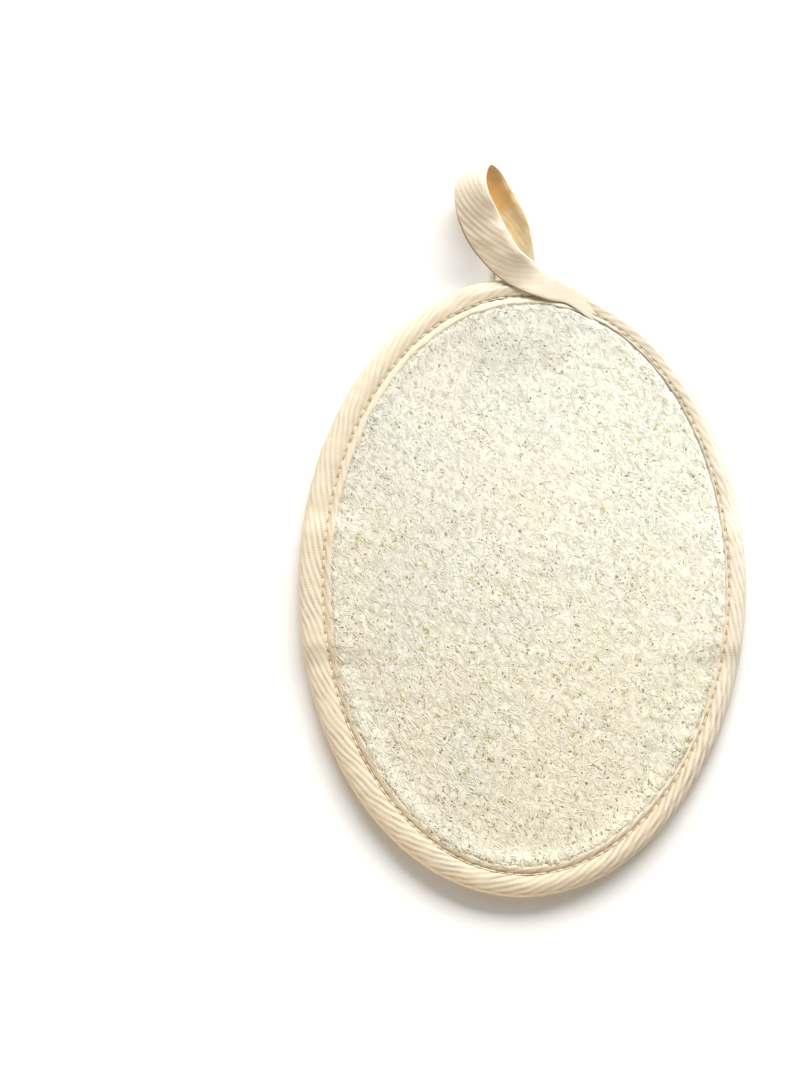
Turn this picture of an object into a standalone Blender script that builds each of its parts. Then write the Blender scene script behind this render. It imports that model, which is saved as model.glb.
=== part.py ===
"""Oval loofah bath pad, lying face up.

A mat of loofah fibre is laid on terry cloth. Folded twill tape binds the rim and runs on into
the hanging loop. An elastic hand strap crosses the back, and its ends are sewn in under the tape.

Metres, +Z up, +Y towards the hanging loop. The pad rests on the back of its binding.
"""

import math
import random

import bmesh
import bpy
from mathutils import Vector
from mathutils.geometry import delaunay_2d_cdt

# Outline of the bound pad
PAD_WIDTH = 0.130
PAD_LENGTH = 0.180
RIM_SEGMENTS = 72

# Gap between pieces that touch
GAP = 0.0003

# Twill tape: its seam runs further in on the lower left side than on the upper right
TAPE_THICK = 0.0009
SEAM_INSET = 0.0061
SEAM_SHIFT = 0.00115
SEAM_SHIFT_ANGLE = math.radians(205)
FRONT_MARGIN = 0.0028
BACK_MARGIN = 0.0032
GROOVE_HALF = 0.0016

# How far the seam draws the tape in, on the back and on the face
BACK_GROOVE = 0.0008
FACE_GROOVE = 0.0005

# Terry cloth and loofah mat, at the rim and at the middle
TERRY_RIM_THICK = 0.0011
TERRY_PINCH = 0.00035
TERRY_SWELL = 0.0009
LOOFAH_RIM_TOP = 0.0050
LOOFAH_SWELL = 0.0030
EDGE_INSET_OUTER = 0.0013
EDGE_INSET_INNER = 0.0022
NET_BORDER = 0.0036

# The strap draws the pad into a shallow dome
DOME_RISE = 0.0066

# Elastic hand strap
STRAP_WIDTH = 0.030
STRAP_THICK = 0.0009
STRAP_HALF_LENGTH = 0.061
STRAP_SAG = 0.00175
STRAP_SAG_HALF_SPAN = 0.052
STRAP_RIBS = 13
STRAP_RIB_DEPTH = 0.00014
STRAP_ROWS = 10
STRAP_BUMP = 0.0012
STRAP_BUMP_FULL = 0.0157
STRAP_BUMP_END = 0.0234
STRAP_BUMP_FADE = (0.70, 0.93)

# Tab at the end of the loop, sewn to the back under the rim
TAB_X = -0.00215
TAB_ROOM = 0.0021
TAB_BUMP_FULL = 0.0093
TAB_BUMP_END = 0.0200
TAB_BUMP_FADE = (0.060, 0.076)

# Raised net of the loofah: pits between strands, drawn out along the lay of the fibre
NET_SEED = 41
NET_CELL = 0.0042
NET_JITTER = 0.33
NET_STRETCH = 1.28
NET_LAY = math.radians(118)
NET_PIT = (0.0009, 0.0015)
NET_CREST = (-0.0001, 0.0004)
NET_FADE = 0.0020

# Spacing of the points that carry the smooth surfaces
CLOTH_GRID = 0.0095
HIDDEN_GRID = 0.0125

# Sewing thread
THREAD_RADIUS = 0.00022
THREAD_SIDES = 3
LOOP_ROOT_SEGMENTS = (14, 19)
STITCH_RISE = 0.00012
TACK_Y = 0.0842
TACK_HALF_LENGTH = 0.0056
TACK_STITCHES = 5

# Hanging loop: the same tape folded in two. Each row has the middle, the direction across the
# tape, its width and its thickness, in millimetres, from inside the face band to the sewn tab.
LOOP_ROUTE = (
    ((21.8, 79.7, 5.45), (0.48, 0.88, 0.00), 6.0, 0.5),
    ((14.2, 84.3, 6.64), (0.31, 0.95, -0.04), 5.6, 1.2),
    ((8.2, 86.6, 8.25), (0.22, 0.97, 0.00), 8.0, 1.7),
    ((2.0, 89.4, 8.80), (0.38, 0.91, 0.10), 9.5, 1.8),
    ((-4.3, 93.8, 10.60), (0.68, 0.58, 0.45), 11.3, 1.8),
    ((-9.3, 99.9, 11.80), (0.74, 0.53, 0.42), 12.5, 1.8),
    ((-12.3, 105.3, 12.80), (0.85, 0.43, 0.30), 12.5, 1.8),
    ((-14.6, 111.6, 13.90), (0.80, 0.25, 0.54), 12.5, 1.8),
    ((-15.2, 117.0, 13.20), (0.70, 0.18, 0.69), 12.5, 1.8),
    ((-13.5, 120.3, 10.20), (0.66, 0.30, 0.69), 12.5, 1.8),
    ((-10.4, 118.0, 7.20), (0.67, 0.36, 0.65), 12.5, 1.8),
    ((-7.2, 112.9, 5.80), (0.68, 0.36, 0.64), 12.5, 1.8),
    ((-4.0, 106.6, 5.00), (0.76, 0.30, 0.57), 12.5, 1.8),
    ((-2.8, 99.6, 3.40), (0.93, 0.13, 0.33), 12.5, 1.8),
    ((-2.15, 93.0, 1.65), (1.00, 0.00, 0.06), 12.5, 1.8),
    ((-2.15, 90.6, 1.10), (1.00, 0.00, 0.00), 12.5, 1.8),
    ((-2.15, 88.2, 0.98), (1.00, 0.00, 0.00), 12.5, 1.8),
    ((-2.15, 85.6, 0.98), (1.00, 0.00, 0.00), 12.5, 1.8),
    ((-2.15, 84.2, 1.30), (1.00, 0.00, 0.00), 12.5, 1.0),
    ((-2.15, 82.6, 1.20), (1.00, 0.00, 0.00), 12.5, 1.8),
    ((-2.15, 79.6, 2.60), (1.00, 0.00, 0.00), 12.5, 1.8),
    ((-2.15, 76.2, 2.90), (1.00, 0.00, 0.00), 12.5, 1.8),
)
LOOP_STEPS = 3
LOOP_EDGE_ROUND = 0.35

# Base colour, roughness
LOOFAH_FINISH = ((0.82, 0.78, 0.64), 0.85)
TERRY_FINISH = ((0.86, 0.80, 0.66), 0.95)
STRAP_FINISH = ((0.83, 0.74, 0.54), 0.80)
TAPE_FINISH = ((0.84, 0.73, 0.56), 0.90)
THREAD_FINISH = ((0.88, 0.80, 0.66), 0.70)
TACK_FINISH = ((0.87, 0.79, 0.64), 0.70)


def smooth_step(value, low, high):
    share = min(1.0, max(0.0, (value - low) / (high - low)))
    return share * share * (3.0 - 2.0 * share)


def blend(start, end, share):
    return start + (end - start) * share


# Plan of the pad

def rim_point(angle, inset):
    """Point on the curve that lies this far inside the oval outline."""
    across = PAD_WIDTH / 2 * math.cos(angle)
    along = PAD_LENGTH / 2 * math.sin(angle)
    outward = Vector((PAD_LENGTH * math.cos(angle), PAD_WIDTH * math.sin(angle))).normalized()
    return Vector((across, along)) - inset * outward


def seam_inset(angle):
    return SEAM_INSET + SEAM_SHIFT * math.cos(angle - SEAM_SHIFT_ANGLE)


def rim_angles():
    return [2.0 * math.pi * number / RIM_SEGMENTS for number in range(RIM_SEGMENTS)]


def seam_share(point):
    """0 at the middle of the pad and 1 on its seam."""
    middle = -SEAM_SHIFT * Vector((math.cos(SEAM_SHIFT_ANGLE), math.sin(SEAM_SHIFT_ANGLE)))
    across = (point.x - middle.x) / (PAD_WIDTH / 2 - SEAM_INSET)
    along = (point.y - middle.y) / (PAD_LENGTH / 2 - SEAM_INSET)
    return math.hypot(across, along)


def swell(point):
    return max(0.0, 1.0 - seam_share(point) ** 2)


def over_strap(point):
    """1 where the strap's sewn ends lift the rim, 0 away from them."""
    beside = 1.0 - smooth_step(abs(point.y), STRAP_BUMP_FULL, STRAP_BUMP_END)
    return beside * smooth_step(seam_share(point), *STRAP_BUMP_FADE)


def over_tab(point):
    """1 where the loop's tab lifts the rim, 0 away from it."""
    beside = 1.0 - smooth_step(abs(point.x - TAB_X), TAB_BUMP_FULL, TAB_BUMP_END)
    return beside * smooth_step(point.y, *TAB_BUMP_FADE)


# Heights of the layers, where pinch is 1 on the seam and 0 off it

def back_tape_bottom(point, pinch=0.0):
    return BACK_GROOVE * max(pinch, over_strap(point)) + TAB_ROOM * over_tab(point)


def terry_bottom(point, pinch=0.0):
    on_tape = back_tape_bottom(point, pinch) + TAPE_THICK + GAP
    return on_tape + (STRAP_THICK + GAP) * over_strap(point) + DOME_RISE * swell(point)


def terry_top(point, pinch=0.0):
    thickness = TERRY_RIM_THICK - TERRY_PINCH * pinch + TERRY_SWELL * swell(point)
    return terry_bottom(point, pinch) + thickness


def loofah_bottom(point, pinch=0.0):
    return terry_top(point, pinch) + GAP


def loofah_top(point, pinch=0.0):
    lift = STRAP_BUMP * over_strap(point) + TAB_ROOM * over_tab(point)
    return LOOFAH_RIM_TOP - FACE_GROOVE * pinch + lift + (DOME_RISE + LOOFAH_SWELL) * swell(point)


def strap_bottom(point):
    share = min(1.0, abs(point.x) / STRAP_SAG_HALF_SPAN)
    seat = BACK_GROOVE + TAPE_THICK + GAP
    return seat - STRAP_SAG * (1.0 - share ** 2)


# Mesh helpers

def add_mesh(name, corners, faces, finish, smooth_angle=50):
    """Object with one closed mesh and a material of its own."""
    work = bmesh.new()
    points = [work.verts.new(corner) for corner in corners]
    for face in faces:
        work.faces.new([points[number] for number in face])
    bmesh.ops.recalc_face_normals(work, faces=work.faces)
    mesh = bpy.data.meshes.new(name)
    work.to_mesh(mesh)
    work.free()
    mesh.shade_smooth()
    mesh.set_sharp_from_angle(angle=math.radians(smooth_angle))
    mesh.materials.append(make_material(name, finish))
    made = bpy.data.objects.new(name, mesh)
    bpy.context.collection.objects.link(made)
    return made


def make_material(name, finish):
    colour, roughness = finish
    material = bpy.data.materials.new(name)
    material.use_nodes = True
    shader = material.node_tree.nodes["Principled BSDF"]
    shader.inputs["Base Color"].default_value = (*colour, 1.0)
    shader.inputs["Roughness"].default_value = roughness
    shader.inputs["Metallic"].default_value = 0.0
    return material


def tube_faces(sections, sides, closed):
    """Faces between cross-sections of equal corner count, numbered one section after another."""
    faces = []
    count = sections if closed else sections - 1
    for section in range(count):
        here = section * sides
        there = (section + 1) % sections * sides
        for side in range(sides):
            beside = (side + 1) % sides
            faces.append((here + side, here + beside, there + beside, there + side))
    if not closed:
        faces.append(tuple(range(sides)))
        faces.append(tuple(range((sections - 1) * sides, sections * sides)))
    return faces


def fill_border(border, inside):
    """Triangles over a closed border and the points inside it."""
    count = len(border)
    edges = [(number, (number + 1) % count) for number in range(count)]
    result = delaunay_2d_cdt(border + inside, edges, [], 1, 1e-9)
    origins = [sources[0] for sources in result[3]]
    return [tuple(origins[corner] for corner in face) for face in result[2]]


def staggered_grid(spacing, half_width, half_length):
    """Points of a triangular grid that covers a rectangle about the middle."""
    points = []
    row_step = spacing * math.sqrt(3) / 2
    rows = int(half_length / row_step) + 1
    columns = int(half_width / spacing) + 1
    for row in range(-rows, rows + 1):
        shift = spacing / 2 if row % 2 else 0.0
        for column in range(-columns, columns + 1):
            points.append(Vector((column * spacing + shift, row * row_step)))
    return points


def inside_border(point, margin):
    """Whether a point lies this far or more inside the border of the raised net."""
    half_width = PAD_WIDTH / 2 - SEAM_INSET - NET_BORDER
    reach = 1.0 - margin / half_width
    return seam_share(point) * (PAD_WIDTH / 2 - SEAM_INSET) / half_width < reach


def border_ring():
    return [rim_point(angle, seam_inset(angle) + NET_BORDER) for angle in rim_angles()]


def cloth_points(spacing):
    grid = staggered_grid(spacing, PAD_WIDTH / 2, PAD_LENGTH / 2)
    return [point for point in grid if inside_border(point, spacing / 3)]


def pad_layer(name, top, bottom, finish):
    """Closed layer of the pad. Each side is its edge inset, its heights and its inner points."""
    corners = []
    faces = []
    count = RIM_SEGMENTS
    edges = []
    for edge_inset, height, inside, relief in (top, bottom):
        first = len(corners)
        edges.append(first)
        for angle in rim_angles():
            point = rim_point(angle, edge_inset)
            corners.append((*point, height(point)))
        for angle in rim_angles():
            point = rim_point(angle, seam_inset(angle))
            corners.append((*point, height(point, 1.0)))
        border = border_ring()
        for point, rise in zip(border + inside, [0.0] * count + relief):
            corners.append((*point, height(point) + rise))
        for row in range(2):
            for number in range(count):
                beside = (number + 1) % count
                outer = first + row * count
                inner = outer + count
                faces.append((outer + number, outer + beside, inner + beside, inner + number))
        start = first + 2 * count
        faces.extend(tuple(start + corner for corner in face) for face in layer_fill(border, inside))
    for number in range(count):
        beside = (number + 1) % count
        faces.append((edges[0] + number, edges[0] + beside, edges[1] + beside, edges[1] + number))
    return add_mesh(name, corners, faces, finish)


def layer_fill(border, inside):
    """Triangles of a layer's inner area, chosen with the stretch of the net taken out."""
    return fill_border([to_cells(point) for point in border], [to_cells(point) for point in inside])


# Raised net

def to_cells(point):
    """Plan point turned to the lay of the fibre, with the stretch of the cells taken out."""
    along = point.x * math.cos(NET_LAY) + point.y * math.sin(NET_LAY)
    across = -point.x * math.sin(NET_LAY) + point.y * math.cos(NET_LAY)
    return Vector((along / NET_STRETCH, across * NET_STRETCH))


def from_cells(cell):
    along = cell.x * NET_STRETCH
    across = cell.y / NET_STRETCH
    return Vector((
        along * math.cos(NET_LAY) - across * math.sin(NET_LAY),
        along * math.sin(NET_LAY) + across * math.cos(NET_LAY),
    ))


def net_points():
    """Points of the net and how far each stands off the mat: pits, then crests where strands meet."""
    draw = random.Random(NET_SEED)
    pits = []
    for cell in staggered_grid(NET_CELL, PAD_LENGTH * 0.75, PAD_LENGTH * 0.75):
        shift = Vector((draw.uniform(-1, 1), draw.uniform(-1, 1))) * NET_JITTER * NET_CELL
        pits.append(cell + shift)
    pits = [pit for pit in pits if inside_border(from_cells(pit), -NET_CELL)]
    result = delaunay_2d_cdt(pits, [], [], 0, 1e-9)
    crests = [sum((result[0][corner] for corner in face), Vector((0, 0))) / 3 for face in result[2]]
    points = []
    heights = []
    for cells, low, high, margin in (
        (pits, -NET_PIT[1], -NET_PIT[0], 0.0011),
        (crests, NET_CREST[0], NET_CREST[1], 0.0007),
    ):
        for cell in cells:
            height = draw.uniform(low, high)
            point = from_cells(cell)
            if inside_border(point, margin):
                border_near = 1.0 if inside_border(point, NET_FADE) else 0.5
                points.append(point)
                heights.append(height * border_near)
    return points, heights


# Sub-parts

def make_loofah():
    inside, relief = net_points()
    hidden = cloth_points(HIDDEN_GRID)
    top = (EDGE_INSET_INNER, loofah_top, inside, relief)
    bottom = (EDGE_INSET_OUTER, loofah_bottom, hidden, [0.0] * len(hidden))
    return pad_layer("loofah_face", top, bottom, LOOFAH_FINISH)


def make_terry():
    hidden = cloth_points(HIDDEN_GRID)
    shown = cloth_points(CLOTH_GRID)
    top = (EDGE_INSET_OUTER, terry_top, hidden, [0.0] * len(hidden))
    bottom = (EDGE_INSET_INNER, terry_bottom, shown, [0.0] * len(shown))
    return pad_layer("terry_back", top, bottom, TERRY_FINISH)


def make_strap():
    """Elastic with ribs along its back, flat on the side towards the pad."""
    ribs = 2 * STRAP_RIBS
    corners = []
    for row in range(STRAP_ROWS + 1):
        along = 2.0 * row / STRAP_ROWS - 1.0
        x = STRAP_HALF_LENGTH * math.copysign(abs(along) ** 0.75, along)
        for rib in range(ribs + 1):
            point = Vector((x, STRAP_WIDTH * (rib / ribs - 0.5)))
            valley = STRAP_RIB_DEPTH if rib % 2 == 0 else 0.0
            corners.append((*point, strap_bottom(point) + valley))
        for side in (0.5, -0.5):
            point = Vector((x, STRAP_WIDTH * side))
            corners.append((*point, strap_bottom(point) + STRAP_THICK))
    faces = tube_faces(STRAP_ROWS + 1, ribs + 3, closed=False)
    return add_mesh("elastic_strap", corners, faces, STRAP_FINISH, smooth_angle=20)


def tape_section(angle):
    """Cross-section of the folded tape at the rim: outside from the face to the back, then inside."""
    seam = seam_inset(angle)
    shoulder = seam - GROOVE_HALF
    front = seam + FRONT_MARGIN
    back = seam + BACK_MARGIN
    on_seam = rim_point(angle, seam)
    near_edge = rim_point(angle, EDGE_INSET_INNER)
    past_seam = rim_point(angle, seam + NET_BORDER)
    seam_face = loofah_top(on_seam, 1.0) + GAP
    edge_face = loofah_top(near_edge) + GAP
    margin_face = blend(seam_face, loofah_top(past_seam) + GAP, FRONT_MARGIN / NET_BORDER)
    seam_back = back_tape_bottom(on_seam, 1.0)
    edge_back = back_tape_bottom(near_edge)
    margin_back = back_tape_bottom(past_seam)
    crown = edge_face + TAPE_THICK
    outside = [
        (front, margin_face + TAPE_THICK),
        (seam, seam_face + TAPE_THICK),
        (shoulder, crown + 0.0001),
        (0.0025, crown - 0.0001),
        (0.0007, crown - 0.0010),
        (0.0, blend(edge_back, crown, 0.5)),
        (0.0008, edge_back + 0.0008),
        (0.0024, edge_back),
        (shoulder, edge_back),
        (seam, seam_back),
        (seam + GROOVE_HALF, margin_back),
        (back, margin_back),
    ]
    inside = [
        (back, margin_back + TAPE_THICK),
        (seam, seam_back + TAPE_THICK),
        (EDGE_INSET_INNER, edge_back + TAPE_THICK),
        (TAPE_THICK, edge_back + 0.0019),
        (TAPE_THICK, edge_face - 0.0014),
        (EDGE_INSET_INNER, edge_face),
        (seam, seam_face),
        (front, margin_face),
    ]
    return [(*rim_point(angle, inset), height) for inset, height in outside + inside]


def curve_through(values, steps):
    """Values read from a smooth curve through the given ones, with equal steps between them."""
    read = []
    for number in range(len(values) - 1):
        before = values[max(number - 1, 0)]
        start = values[number]
        end = values[number + 1]
        after = values[min(number + 2, len(values) - 1)]
        for step in range(steps):
            share = step / steps
            first = (end - before) * 0.5
            last = (after - start) * 0.5
            cube = share ** 3
            square = share ** 2
            value = start * (2 * cube - 3 * square + 1) + first * (cube - 2 * square + share)
            read.append(value + end * (3 * square - 2 * cube) + last * (cube - square))
    read.append(values[-1])
    return read


def loop_rows():
    """Middle, direction across, half width and half thickness along the doubled tape."""
    middles = curve_through([Vector(row[0]) * 0.001 for row in LOOP_ROUTE], LOOP_STEPS)
    across = curve_through([Vector(row[1]) for row in LOOP_ROUTE], LOOP_STEPS)
    halves = curve_through([Vector((row[2], row[3])) * 0.0005 for row in LOOP_ROUTE], LOOP_STEPS)
    return middles, across, halves


def make_loop():
    """Doubled tape from inside the face band, round the loop and back under the rim."""
    middles, across, halves = loop_rows()
    corners = []
    for number, middle in enumerate(middles):
        ahead = middles[min(number + 1, len(middles) - 1)] - middles[max(number - 1, 0)]
        ahead.normalize()
        side = across[number] - ahead * across[number].dot(ahead)
        side.normalize()
        face = ahead.cross(side)
        wide, thick = halves[number]
        low = thick * LOOP_EDGE_ROUND
        inner = wide - low * 2
        for reach, rise in (
            (inner, thick),
            (wide, low),
            (wide, -low),
            (inner, -thick),
            (-inner, -thick),
            (-wide, -low),
            (-wide, low),
            (-inner, thick),
        ):
            corners.append(middle + side * reach + face * rise)
    faces = tube_faces(len(middles), 8, closed=False)
    loop = add_mesh("loop_guide", corners, faces, TAPE_FINISH)
    loop.hide_render = True
    loop.display_type = "WIRE"
    return loop


def make_binding():
    """Tape folded over the rim, in one piece with the hanging loop."""
    corners = []
    for angle in rim_angles():
        corners.extend(tape_section(angle))
    sides = len(corners) // RIM_SEGMENTS
    binding = add_mesh("binding_tape", corners, tube_faces(RIM_SEGMENTS, sides, closed=True), TAPE_FINISH)
    joint = binding.modifiers.new("loop", "BOOLEAN")
    joint.operation = "UNION"
    joint.solver = "EXACT"
    joint.object = make_loop()
    return binding


def make_seam_thread(name, face_up):
    """Ring of stitches in the seam's groove: each rises at its middle and dips at its ends.

    On the face it stops where the loop's root covers the seam.
    """
    direction = 1.0 if face_up else -1.0
    grooves = []
    for angle in rim_angles():
        point = rim_point(angle, seam_inset(angle))
        if face_up:
            height = loofah_top(point, 1.0) + GAP + TAPE_THICK
        else:
            height = back_tape_bottom(point, 1.0)
        grooves.append(Vector((*point, height)))
    first = 2 * LOOP_ROOT_SEGMENTS[1] if face_up else 0
    last = 2 * (RIM_SEGMENTS + LOOP_ROOT_SEGMENTS[0]) if face_up else 2 * RIM_SEGMENTS - 1
    corners = []
    for section in range(first, last + 1):
        start = grooves[section // 2 % RIM_SEGMENTS]
        end = grooves[(section // 2 + 1) % RIM_SEGMENTS]
        low = section % 2 == 0
        middle = start if low else (start + end) / 2
        outward = Vector((middle.x / PAD_WIDTH ** 2, middle.y / PAD_LENGTH ** 2, 0.0)).normalized()
        stand = GAP * 0.7 + THREAD_RADIUS + (0.0 if low else STITCH_RISE)
        corners.extend(thread_section(middle + Vector((0, 0, direction * stand)), outward, direction))
    faces = tube_faces(last + 1 - first, THREAD_SIDES, closed=not face_up)
    return add_mesh(name, corners, faces, THREAD_FINISH)


def thread_section(middle, across, direction):
    """Corners of the thread's cross-section, with one side flat towards the tape."""
    corners = []
    for side in range(THREAD_SIDES):
        turn = math.pi / 2 + 2.0 * math.pi * side / THREAD_SIDES
        offset = across * math.cos(turn) + Vector((0, 0, direction * math.sin(turn)))
        corners.append(middle + offset * THREAD_RADIUS)
    return corners


def make_tack_thread():
    """Row of stitches across the tab, in the groove that they draw into it."""
    corners = []
    sections = 2 * TACK_STITCHES + 1
    for section in range(sections):
        x = TAB_X + TACK_HALF_LENGTH * (2.0 * section / (sections - 1) - 1.0)
        rise = 0.00008 if section % 2 == 0 else 0.0
        middle = Vector((x, TACK_Y, THREAD_RADIUS + 0.00006 + rise))
        corners.extend(thread_section(middle, Vector((0, 1, 0)), -1.0))
    faces = tube_faces(sections, THREAD_SIDES, closed=False)
    return add_mesh("loop_tack_thread", corners, faces, TACK_FINISH)


def centre_on_floor(pieces):
    """Bring the middle of the whole pad's plan to the origin and its lowest point to the floor."""
    bpy.context.view_layer.update()
    graph = bpy.context.evaluated_depsgraph_get()
    corners = []
    for piece in pieces:
        shape = piece.evaluated_get(graph)
        corners.extend(shape.matrix_world @ Vector(corner) for corner in shape.bound_box)
    low = [min(corner[axis] for corner in corners) for axis in range(3)]
    high = [max(corner[axis] for corner in corners) for axis in range(3)]
    shift = Vector((-(low[0] + high[0]) / 2, -(low[1] + high[1]) / 2, -low[2]))
    for piece in pieces:
        piece.location = shift
    return shift


def main():
    for old in list(bpy.data.objects):
        bpy.data.objects.remove(old)
    pieces = [
        make_loofah(),
        make_terry(),
        make_strap(),
        make_binding(),
        make_seam_thread("seam_thread_face", True),
        make_seam_thread("seam_thread_back", False),
        make_tack_thread(),
    ]
    guide = bpy.data.objects["loop_guide"]
    shift = centre_on_floor(pieces)
    guide.location = shift
    bpy.context.view_layer.update()


main()
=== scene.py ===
"""Looks of the oval loofah bath pad: loofah face, terry back, elastic strap, twill binding and loop.

Metres, +Z up. Each mesh is made about the middle of the pad's plan and then set in the frame.
"""

import math

import bpy
import numpy as np
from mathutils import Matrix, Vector
from mathutils.bvhtree import BVHTree


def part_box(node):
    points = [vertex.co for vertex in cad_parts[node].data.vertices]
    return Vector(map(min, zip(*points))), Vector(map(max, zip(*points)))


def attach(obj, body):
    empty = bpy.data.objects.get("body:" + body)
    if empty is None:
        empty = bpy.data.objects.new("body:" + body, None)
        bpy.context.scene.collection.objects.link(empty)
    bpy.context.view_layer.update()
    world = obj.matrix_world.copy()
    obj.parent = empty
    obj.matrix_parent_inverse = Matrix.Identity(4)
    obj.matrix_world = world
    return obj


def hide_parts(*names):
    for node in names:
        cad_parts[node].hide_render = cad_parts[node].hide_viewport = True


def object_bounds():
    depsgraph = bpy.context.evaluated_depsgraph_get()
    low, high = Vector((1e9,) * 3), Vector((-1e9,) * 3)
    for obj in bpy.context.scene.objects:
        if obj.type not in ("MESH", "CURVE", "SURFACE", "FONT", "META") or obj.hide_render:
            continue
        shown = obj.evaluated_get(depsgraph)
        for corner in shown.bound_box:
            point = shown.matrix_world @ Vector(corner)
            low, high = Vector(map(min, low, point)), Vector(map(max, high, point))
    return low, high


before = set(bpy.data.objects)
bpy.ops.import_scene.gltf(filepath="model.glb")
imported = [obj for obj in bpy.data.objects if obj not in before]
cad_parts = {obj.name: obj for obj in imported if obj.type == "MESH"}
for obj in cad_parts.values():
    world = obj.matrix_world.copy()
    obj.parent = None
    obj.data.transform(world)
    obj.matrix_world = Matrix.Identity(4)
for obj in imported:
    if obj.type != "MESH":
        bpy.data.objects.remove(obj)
cad_low, cad_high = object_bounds()

MM = 0.001
BODY = "root"

# Plan and layers of the pad, as in the part
PAD_WIDTH = 0.130
PAD_LENGTH = 0.180
GAP = 0.3 * MM
TAPE_THICK = 0.9 * MM
SEAM_INSET = 6.1 * MM
SEAM_SHIFT = 1.15 * MM
SEAM_SHIFT_ANGLE = math.radians(205)
FRONT_MARGIN = 2.8 * MM
BACK_MARGIN = 3.2 * MM
GROOVE_HALF = 1.6 * MM
BACK_GROOVE = 0.8 * MM
FACE_GROOVE = 0.5 * MM
TERRY_RIM_THICK = 1.1 * MM
TERRY_PINCH = 0.35 * MM
TERRY_SWELL = 0.9 * MM
LOOFAH_RIM_TOP = 5.0 * MM
LOOFAH_SWELL = 3.0 * MM
EDGE_INSET_INNER = 2.2 * MM
NET_BORDER = 3.6 * MM
DOME_RISE = 6.6 * MM
STRAP_WIDTH = 0.030
STRAP_THICK = 0.9 * MM
STRAP_HALF_LENGTH = 0.061
STRAP_SAG = 1.75 * MM
STRAP_SAG_HALF_SPAN = 0.052
STRAP_BUMP = 1.2 * MM
STRAP_BUMP_FULL = 15.7 * MM
STRAP_BUMP_END = 23.4 * MM
STRAP_BUMP_FADE = (0.70, 0.93)
TAB_X = -2.15 * MM
TAB_ROOM = 2.1 * MM
TAB_BUMP_FULL = 9.3 * MM
TAB_BUMP_END = 20.0 * MM
TAB_BUMP_FADE = (0.060, 0.076)
# Side on which the loofah swells over the tape's inner margin, and the share of it left open there
MARGIN_COVERED = math.radians(15)
MARGIN_LEFT_OPEN = 0.36

# Middle of the pad's plan in the frame
terry_low, terry_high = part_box("terry_back")
PAD_MIDDLE = Vector(((terry_low.x + terry_high.x) / 2, (terry_low.y + terry_high.y) / 2, 0.0))


def smooth_step(value, low, high):
    share = np.clip((value - low) / (high - low), 0.0, 1.0)
    return share * share * (3.0 - 2.0 * share)


def band(value, start, full, fade, end):
    """0 up to start, 1 from full to fade, and 0 again from end on."""
    return smooth_step(value, start, full) * (1.0 - smooth_step(value, fade, end))


def unit(vectors):
    return vectors / np.linalg.norm(vectors, axis=-1, keepdims=True)


# Plan of the pad

def rim_point(angle, inset):
    """Points on the curve that lies this far inside the oval outline."""
    outward = unit(np.stack((PAD_LENGTH * np.cos(angle), PAD_WIDTH * np.sin(angle)), axis=-1))
    outline = np.stack((PAD_WIDTH / 2 * np.cos(angle), PAD_LENGTH / 2 * np.sin(angle)), axis=-1)
    return outline - np.asarray(inset)[..., None] * outward


def seam_inset(angle):
    return SEAM_INSET + SEAM_SHIFT * np.cos(angle - SEAM_SHIFT_ANGLE)


def seam_place(x, y):
    """0 at the middle and 1 on the seam, and the distance inside the seam."""
    half_x = PAD_WIDTH / 2 - SEAM_INSET
    half_y = PAD_LENGTH / 2 - SEAM_INSET
    across = x + SEAM_SHIFT * math.cos(SEAM_SHIFT_ANGLE)
    along = y + SEAM_SHIFT * math.sin(SEAM_SHIFT_ANGLE)
    share = np.hypot(across / half_x, along / half_y)
    slope = np.hypot(across / half_x ** 2, along / half_y ** 2) / np.maximum(share, 1e-6)
    return share, (1.0 - share) / np.maximum(slope, 1e-6)


def face_margin(angle):
    """Width of the tape inside its seam on the face: the loofah swells over most of it on the right."""
    covered = smooth_step(np.cos(angle - MARGIN_COVERED), 0.1, 0.9)
    return FRONT_MARGIN * (1 - (1 - MARGIN_LEFT_OPEN) * covered)


def plan_angle(x, y):
    """Angle round the oval at which a point of the plan lies."""
    return np.arctan2(y / PAD_LENGTH, x / PAD_WIDTH)


def inside_margin(x, y):
    """Distance inside the seam, as a share of the margin's width there."""
    return seam_place(x, y)[1] / face_margin(plan_angle(x, y))


def swell(x, y):
    return np.maximum(0.0, 1.0 - seam_place(x, y)[0] ** 2)


def pinch(x, y):
    """1 on the seam, where the stitches draw the layers together."""
    return 1.0 - smooth_step(np.abs(seam_place(x, y)[1]), 0.0, NET_BORDER)


def over_strap(x, y):
    """1 where the strap's sewn ends lift the rim, 0 away from them."""
    beside = 1.0 - smooth_step(np.abs(y), STRAP_BUMP_FULL, STRAP_BUMP_END)
    return beside * smooth_step(seam_place(x, y)[0], *STRAP_BUMP_FADE)


def over_tab(x, y):
    """1 where the loop's tab lifts the rim, 0 away from it."""
    beside = 1.0 - smooth_step(np.abs(x - TAB_X), TAB_BUMP_FULL, TAB_BUMP_END)
    return beside * smooth_step(y, *TAB_BUMP_FADE)


# Heights of the layers

def back_tape_bottom(x, y):
    return BACK_GROOVE * np.maximum(pinch(x, y), over_strap(x, y)) + TAB_ROOM * over_tab(x, y)


def terry_bottom(x, y):
    room = (STRAP_THICK + GAP) * over_strap(x, y)
    return back_tape_bottom(x, y) + TAPE_THICK + GAP + room + DOME_RISE * swell(x, y)


def terry_top(x, y):
    return terry_bottom(x, y) + TERRY_RIM_THICK - TERRY_PINCH * pinch(x, y) + TERRY_SWELL * swell(x, y)


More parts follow.
